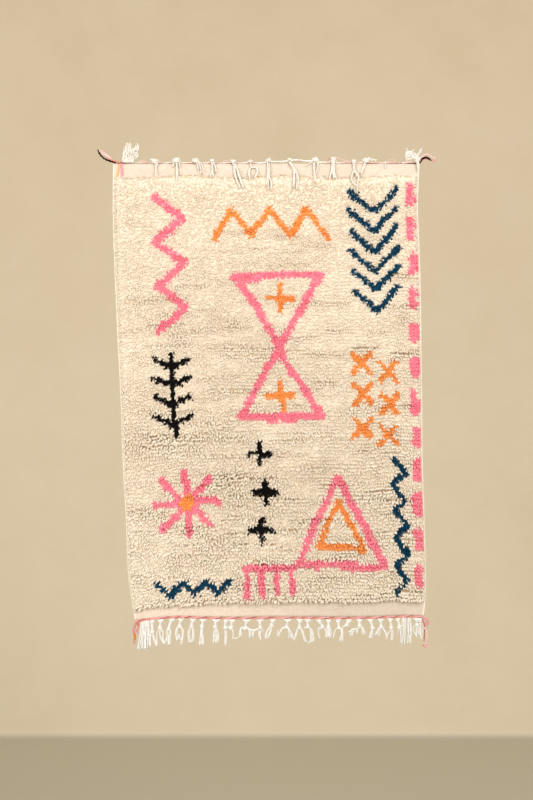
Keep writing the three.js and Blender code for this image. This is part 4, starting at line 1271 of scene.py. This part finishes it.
def add_lower_bunch(yarns, rng, x, wide, splay, deep, count, lean):
    """Straight warp ends that splay a little as they hang."""
    for k in range(count):
        side = k / (count - 1) - 0.5
        base = edge_point(x + side * wide)
        over = side * (splay - wide)
        out = -3.0 - 2.6 * (k % 3) + rng.normal(0, 0.4)
        reach = deep * rng.uniform(0.92, 1.0)
        points = [
            base + (0, -STRIP_OUT, -2.0),
            base + (over * 0.05, mix(-STRIP_OUT, out, 0.6), -9),
            base + (over * 0.5 + lean * 0.5 + rng.normal(0, 1.5), out, -reach * 0.55),
            base + (over + lean + rng.normal(0, 2), out, -reach),
        ]
        wind(yarns, rng, points, (4, 5), 1.9, 0.8)


def make_bottom_fringe():
    rng = np.random.default_rng(77)
    yarns = Yarns()
    for tassel in LOWER_TASSELS:
        add_lower_tassel(yarns, rng, *tassel)
    for bunch in LOWER_BUNCHES:
        add_lower_bunch(yarns, rng, *bunch)
    return yarns.make("bottom_fringe_yarns", WARP_WOOL, "warp_white")


def add_upper_tassel(yarns, rng, x, wide, high, tails):
    """A short tassel that stands in a knot above the edge and flops forward over the cloth."""
    rise = float(top_rise(across_at(float(x), 0.0)))
    thick = min(2.9, 0.35 + wide * 0.14)
    for share in np.linspace(-0.5, 0.5, 3 + wide // 5):
        points = [
            (x + share * (wide + 4), -STRIP_OUT, rise + 2),
            (x + share * (wide + 2), -STRIP_OUT - 0.5, rise + 7),
            (x + share * wide * 0.7, -3.5, rise + high * 0.6 + 4),
            (x + share * wide * 0.4, -7.0, rise + high * 0.5 + 2),
        ]
        wind(yarns, rng, points, (2, 2), thick * 0.7, steps=4, ends=(0.8, 1.0))
    knot = np.array([x, -7.6, rise + high * 0.5 + 1])
    wrap_knot(yarns, rng, knot + (0, 0, -high * 0.15), wide * 0.3, thick * 1.5, thick, 1.6)
    for side in np.linspace(-1, 1, 2 + wide // 9) if wide > 10 else ():
        aside = side * (wide / 2 - thick * 1.9)
        centre = knot + (aside, rng.normal(-1, 0.8), high * rng.uniform(-0.12, 0.3))
        loop = thick * rng.uniform(0.8, 1.25, 2)
        ring_knot(yarns, rng, centre, *loop, thick, rng.normal(0, 2))
    for k, (tail, *ends) in enumerate(tails):
        points = []
        for sideways, drop in tail:
            out = float(curve_at(FALL, "drop", drop - rise, "out")) + 0.9 * (k % 3)
            points.append((x + sideways, -out, -drop))
        wind(yarns, rng, points, ends, turns=rng.uniform(0.2, 0.5))


def make_top_fringe():
    rng = np.random.default_rng(78)
    yarns = Yarns()
    for tassel in UPPER_TASSELS:
        add_upper_tassel(yarns, rng, *tassel)
    return yarns.make("top_fringe_yarns", UPPER_SHADED_WOOL, "warp_white")


# The upper corners' bunches: feet, heads, how far the yarns stand out, and how high they reach.
LEFT_BUNCH = dict(foot=(-482, -446), head=(-475, -425), out=(2.5, 12), count=42)
LEFT_HEIGHTS = dict(share=[0, 0.15, 0.4, 0.5, 0.64, 0.76, 0.92, 1], high=[52, 61, 63, 49, 46, 60, 64, 52])
LEFT_LOOPS = 9
GOLDEN_SHARE = 0.618
# The right bunch: its knot's middle, and the loops of the knot as (aside, above, wide, high, lean).
RIGHT_KNOT = (476, -9, 26)
RIGHT_RINGS = [
    (0, 0, 11.2, 13.6, 1.5),
    (3, -2, 8.0, 10.5, -2.5),
    (-2, 3, 7.0, 7.5, 4),
    (1, 0, 3.4, 4.0, -3),
]
# The right bunch past its knot: lines of points, and the width at each end.
RIGHT_YARNS = [
    ([(470, -3.2, 2), (470, -3.4, 8), (474, -6, 20)], 6, 8),
    ([(480, -3.2, 2), (480, -3.4, 8), (482, -6, 20)], 6, 8),
    ([(483, -9, 30), (496, -11, 26), (503, -12, 9), (507, -15, -20)], 17, 7),
    ([(485, -10, 22), (497, -13, 16), (504, -15, 2), (507, -16, -12)], 14, 8),
    ([(484, -8, 26), (494, -9, 24), (506, -10, 20), (511, -11, 8)], 11, 9),
    ([(496, -9, 20), (507, -8, 29), (515, -8, 41), (521, -8, 51)], 8, 10),
    ([(484, -9, 36), (489, -8, 42), (494, -8, 46)], 5, 3),
    ([(470, -9, 38), (468, -8, 44), (470, -7, 49)], 4, 3),
]


def make_left_bunch(rng):
    yarns = Yarns()
    count = LEFT_BUNCH["count"]
    for k in range(count):
        share = (k + 0.5) / count
        foot, head = mix(*LEFT_BUNCH["foot"], share), mix(*LEFT_BUNCH["head"], share) + rng.normal(0, 1.5)
        high = np.interp(share, LEFT_HEIGHTS["share"], LEFT_HEIGHTS["high"]) + rng.normal(0, 2)
        out = mix(*LEFT_BUNCH["out"], (k * GOLDEN_SHARE) % 1)
        bow = rng.normal(0, 2)
        points = [
            (foot, -STRIP_OUT, 2),
            (foot, -STRIP_OUT - 0.3, 7),
            (mix(foot, head, 0.3) + bow, -mix(3, out, 0.6), high * 0.4),
            (mix(foot, head, 0.75) - bow, -out, high * 0.75),
            (head, -out - 1, high),
        ]
        wind(yarns, rng, points, (4, 6), turns=1.2, steps=5, ends=(0.6, 0.85))
    for _ in range(LEFT_LOOPS):
        centre = (-452 + 20 * rng.uniform(-0.3, 1), -11 - rng.uniform(0, 3), rng.uniform(16, 50))
        ring_knot(yarns, rng, centre, 5, 6, 1.7, rng.normal(0, 2))
    return yarns.make("top_left_yarns", UPPER_SHADED_WOOL, "warp_white")


def make_right_bunch(rng):
    yarns = Yarns()
    for aside, above, wide, high, lean in RIGHT_RINGS:
        centre = np.array(RIGHT_KNOT) + (aside, 0.4 * (wide - 11), above)
        ring_knot(yarns, rng, centre, wide, high, 2.9, lean)
    for line, *wide in RIGHT_YARNS:
        wind(yarns, rng, line, wide, 2.2, 0.5)
    wrap_knot(yarns, rng, (494, -10, 20), 6.5, 5.0, 2.6, 1.5, tilt=4)
    return yarns.make("top_right_yarns", UPPER_SHADED_WOOL, "warp_white")


# Coloured yarns that run down over the upper band at its left corner, as (place, drop) points.
CORNER_YARN = 2.6
CORNER_YARNS = dict(
    orange=[
        [(-494, 0), (-493, 9), (-495, 17), (-499, 27), (-502, 44)],
        [(-490, 2), (-490, 12), (-493, 22), (-497, 33), (-499, 43)],
    ],
    pink=[
        [(-486, -1), (-486, 8), (-484, 18), (-486, 28), (-485, 45)],
        [(-482, 2), (-482, 14), (-481, 26), (-482, 42)],
    ],
)


def make_corner_yarns():
    """The coloured yarns at the upper left corner, down into the pile."""
    pieces = []
    for yarn, routes in CORNER_YARNS.items():
        yarns = Yarns()
        for route in routes:
            x, drop = np.array(route, float).T
            path = np.stack([x, np.full(len(x), -KELIM_THICK - ROOT_SUNK), -drop], -1)
            yarns.add(smooth_path(path, 6), CORNER_YARN, sides=6, turn=0.7, lobe=0.8, tint=1.0)
        pieces.append(yarns.make(f"corner_{yarn}", CORNER_WOOL[yarn], f"pile_{yarn}"))
    return pieces


pile = make_pile()
cloth = make_cloth()
corner_yarns = make_corner_yarns()
selvedges = make_selvedges()
top_cord = make_cord("top_cord", -511, 510, top_edge, 64.0, TOP_STRANDS, TOP_LOOSE)
bottom_cord = make_cord("bottom_cord", -437, 521, cord_below, 52.0, BOTTOM_STRANDS, BOTTOM_LOOSE)
bottom_fringe = make_bottom_fringe()
top_fringe = make_top_fringe()
bunch_rng = np.random.default_rng(79)
left_bunch = make_left_bunch(bunch_rng)
right_bunch = make_right_bunch(bunch_rng)

# What dresses each solid.
dressing = dict(
    rug_body=[cloth, *pile, selvedges, *corner_yarns],
    top_cord=top_cord,
    bottom_cord=bottom_cord,
    bottom_fringe=[bottom_fringe],
    top_fringe=[top_fringe],
    top_left_bunch=[left_bunch],
    top_right_bunch=[right_bunch],
)
for node, pieces in dressing.items():
    for piece in pieces:
        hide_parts(node)
trimmings = sum(dressing.values(), [])[1:]
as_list(trimmings)


# Stage: a pale backdrop far behind the rug that curves into a floor, soft lights, and the camera.
PIXEL = 3.34
IMAGE_HIGH = 800
TOP_EDGE_PIXEL = 163
LENS, SENSOR = 50.0, 36.0
CENTRE_Z = -(IMAGE_HIGH / 2 - TOP_EDGE_PIXEL) * PIXEL
CAMERA_AWAY = PIXEL * LENS / SENSOR * IMAGE_HIGH
PILE_FRONT = 12
FLOOR_Z = -3900
FLOOR_FRONT = -9000
BACKDROP_Y = 6500
BACKDROP_HALF = 12000
BACKDROP_HIGH = 12000
CURVE = 60
CURVE_STEPS = 12
LIGHT_COLOUR = (1.0, 0.985, 0.965)


def plaster():
    """Pale plaster over a greyer floor, with painted light and shade: lighter and warmer low down, darker
    towards the top.
    """
    made = Nodes("plaster")
    place = made.place()
    height = made.node("ShaderNodeSeparateXYZ", {"Vector": place}).outputs["Z"]
    cloud = made.noise(place, 1.3, 8.0, Roughness=0.65)
    low, high = FLOOR_Z * MM + 0.01, FLOOR_Z * MM + 0.05
    lower_wall = made.blend(cloud, srgb(236, 219, 189), srgb(250, 237, 213))
    upper_wall = made.blend(cloud, srgb(224, 202, 168), srgb(239, 221, 192))
    # Painted shade towards the top of the wall and painted light low down.
    wall = made.blend(made.ramp(height, low, 2.9), lower_wall, upper_wall)
    colour = made.blend(made.ramp(height, low, high), srgb(196, 187, 165), wall)
    return made.finish({"Base Color": colour, "Roughness": 0.9})


def make_stage():
    outline = [(FLOOR_FRONT, FLOOR_Z), (BACKDROP_Y - CURVE, FLOOR_Z)]
    for k in range(1, CURVE_STEPS + 1):
        angle = k / CURVE_STEPS * math.pi / 2
        y = BACKDROP_Y - CURVE * (1 - math.sin(angle))
        outline.append((y, FLOOR_Z + (1 - math.cos(angle)) * CURVE))
    outline.append((BACKDROP_Y, FLOOR_Z + BACKDROP_HIGH))
    points = [(x, y, z) for y, z in outline for x in (-BACKDROP_HALF, BACKDROP_HALF)]
    faces = [(2 * k, 2 * k + 1, 2 * k + 3, 2 * k + 2) for k in range(len(outline) - 1)]
    mesh = bpy.data.meshes.new("backdrop")
    mesh.from_pydata(np.array(points) * MM, [], faces)
    mesh.polygons.foreach_set("use_smooth", np.ones(len(faces), bool))
    mesh.materials.append(plaster())
    backdrop = bpy.data.objects.new("backdrop", mesh)
    bpy.context.scene.collection.objects.link(backdrop)


def add_light(name, place, target, size, power):
    data = bpy.data.lights.new(name, "AREA")
    data.shape = "DISK"
    data.size = size
    data.energy = power
    data.color = LIGHT_COLOUR
    light = bpy.data.objects.new(name, data)
    light.location = place
    light.rotation_euler = (Vector(target) - Vector(place)).to_track_quat("-Z", "Y").to_euler()
    bpy.context.scene.collection.objects.link(light)


def add_lights():
    add_light("key", (2.1, -3.9, 1.7), (0, 0, -0.75), 1.6, 121)
    add_light("fill", (-2.4, -3.8, -0.5), (0, 0, CENTRE_Z * MM - 0.3), 2.8, 99)
    world = bpy.data.worlds.new("studio")
    world.use_nodes = True
    background = world.node_tree.nodes["Background"]
    background.inputs["Color"].default_value = srgb(250, 248, 243)
    background.inputs["Strength"].default_value = 0.8
    bpy.context.scene.world = world


def add_camera():
    data = bpy.data.cameras.new("camera")
    data.lens = LENS
    data.sensor_width = SENSOR
    camera = bpy.data.objects.new("camera", data)
    camera.location = (0, -(CAMERA_AWAY + PILE_FRONT) * MM, CENTRE_Z * MM)
    camera.rotation_euler = (math.radians(90), 0, 0)
    bpy.context.scene.collection.objects.link(camera)
    bpy.context.scene.camera = camera
    bpy.context.scene.view_settings.view_transform = "Standard"


make_stage()
add_lights()
add_camera()

bpy.context.view_layer.update()
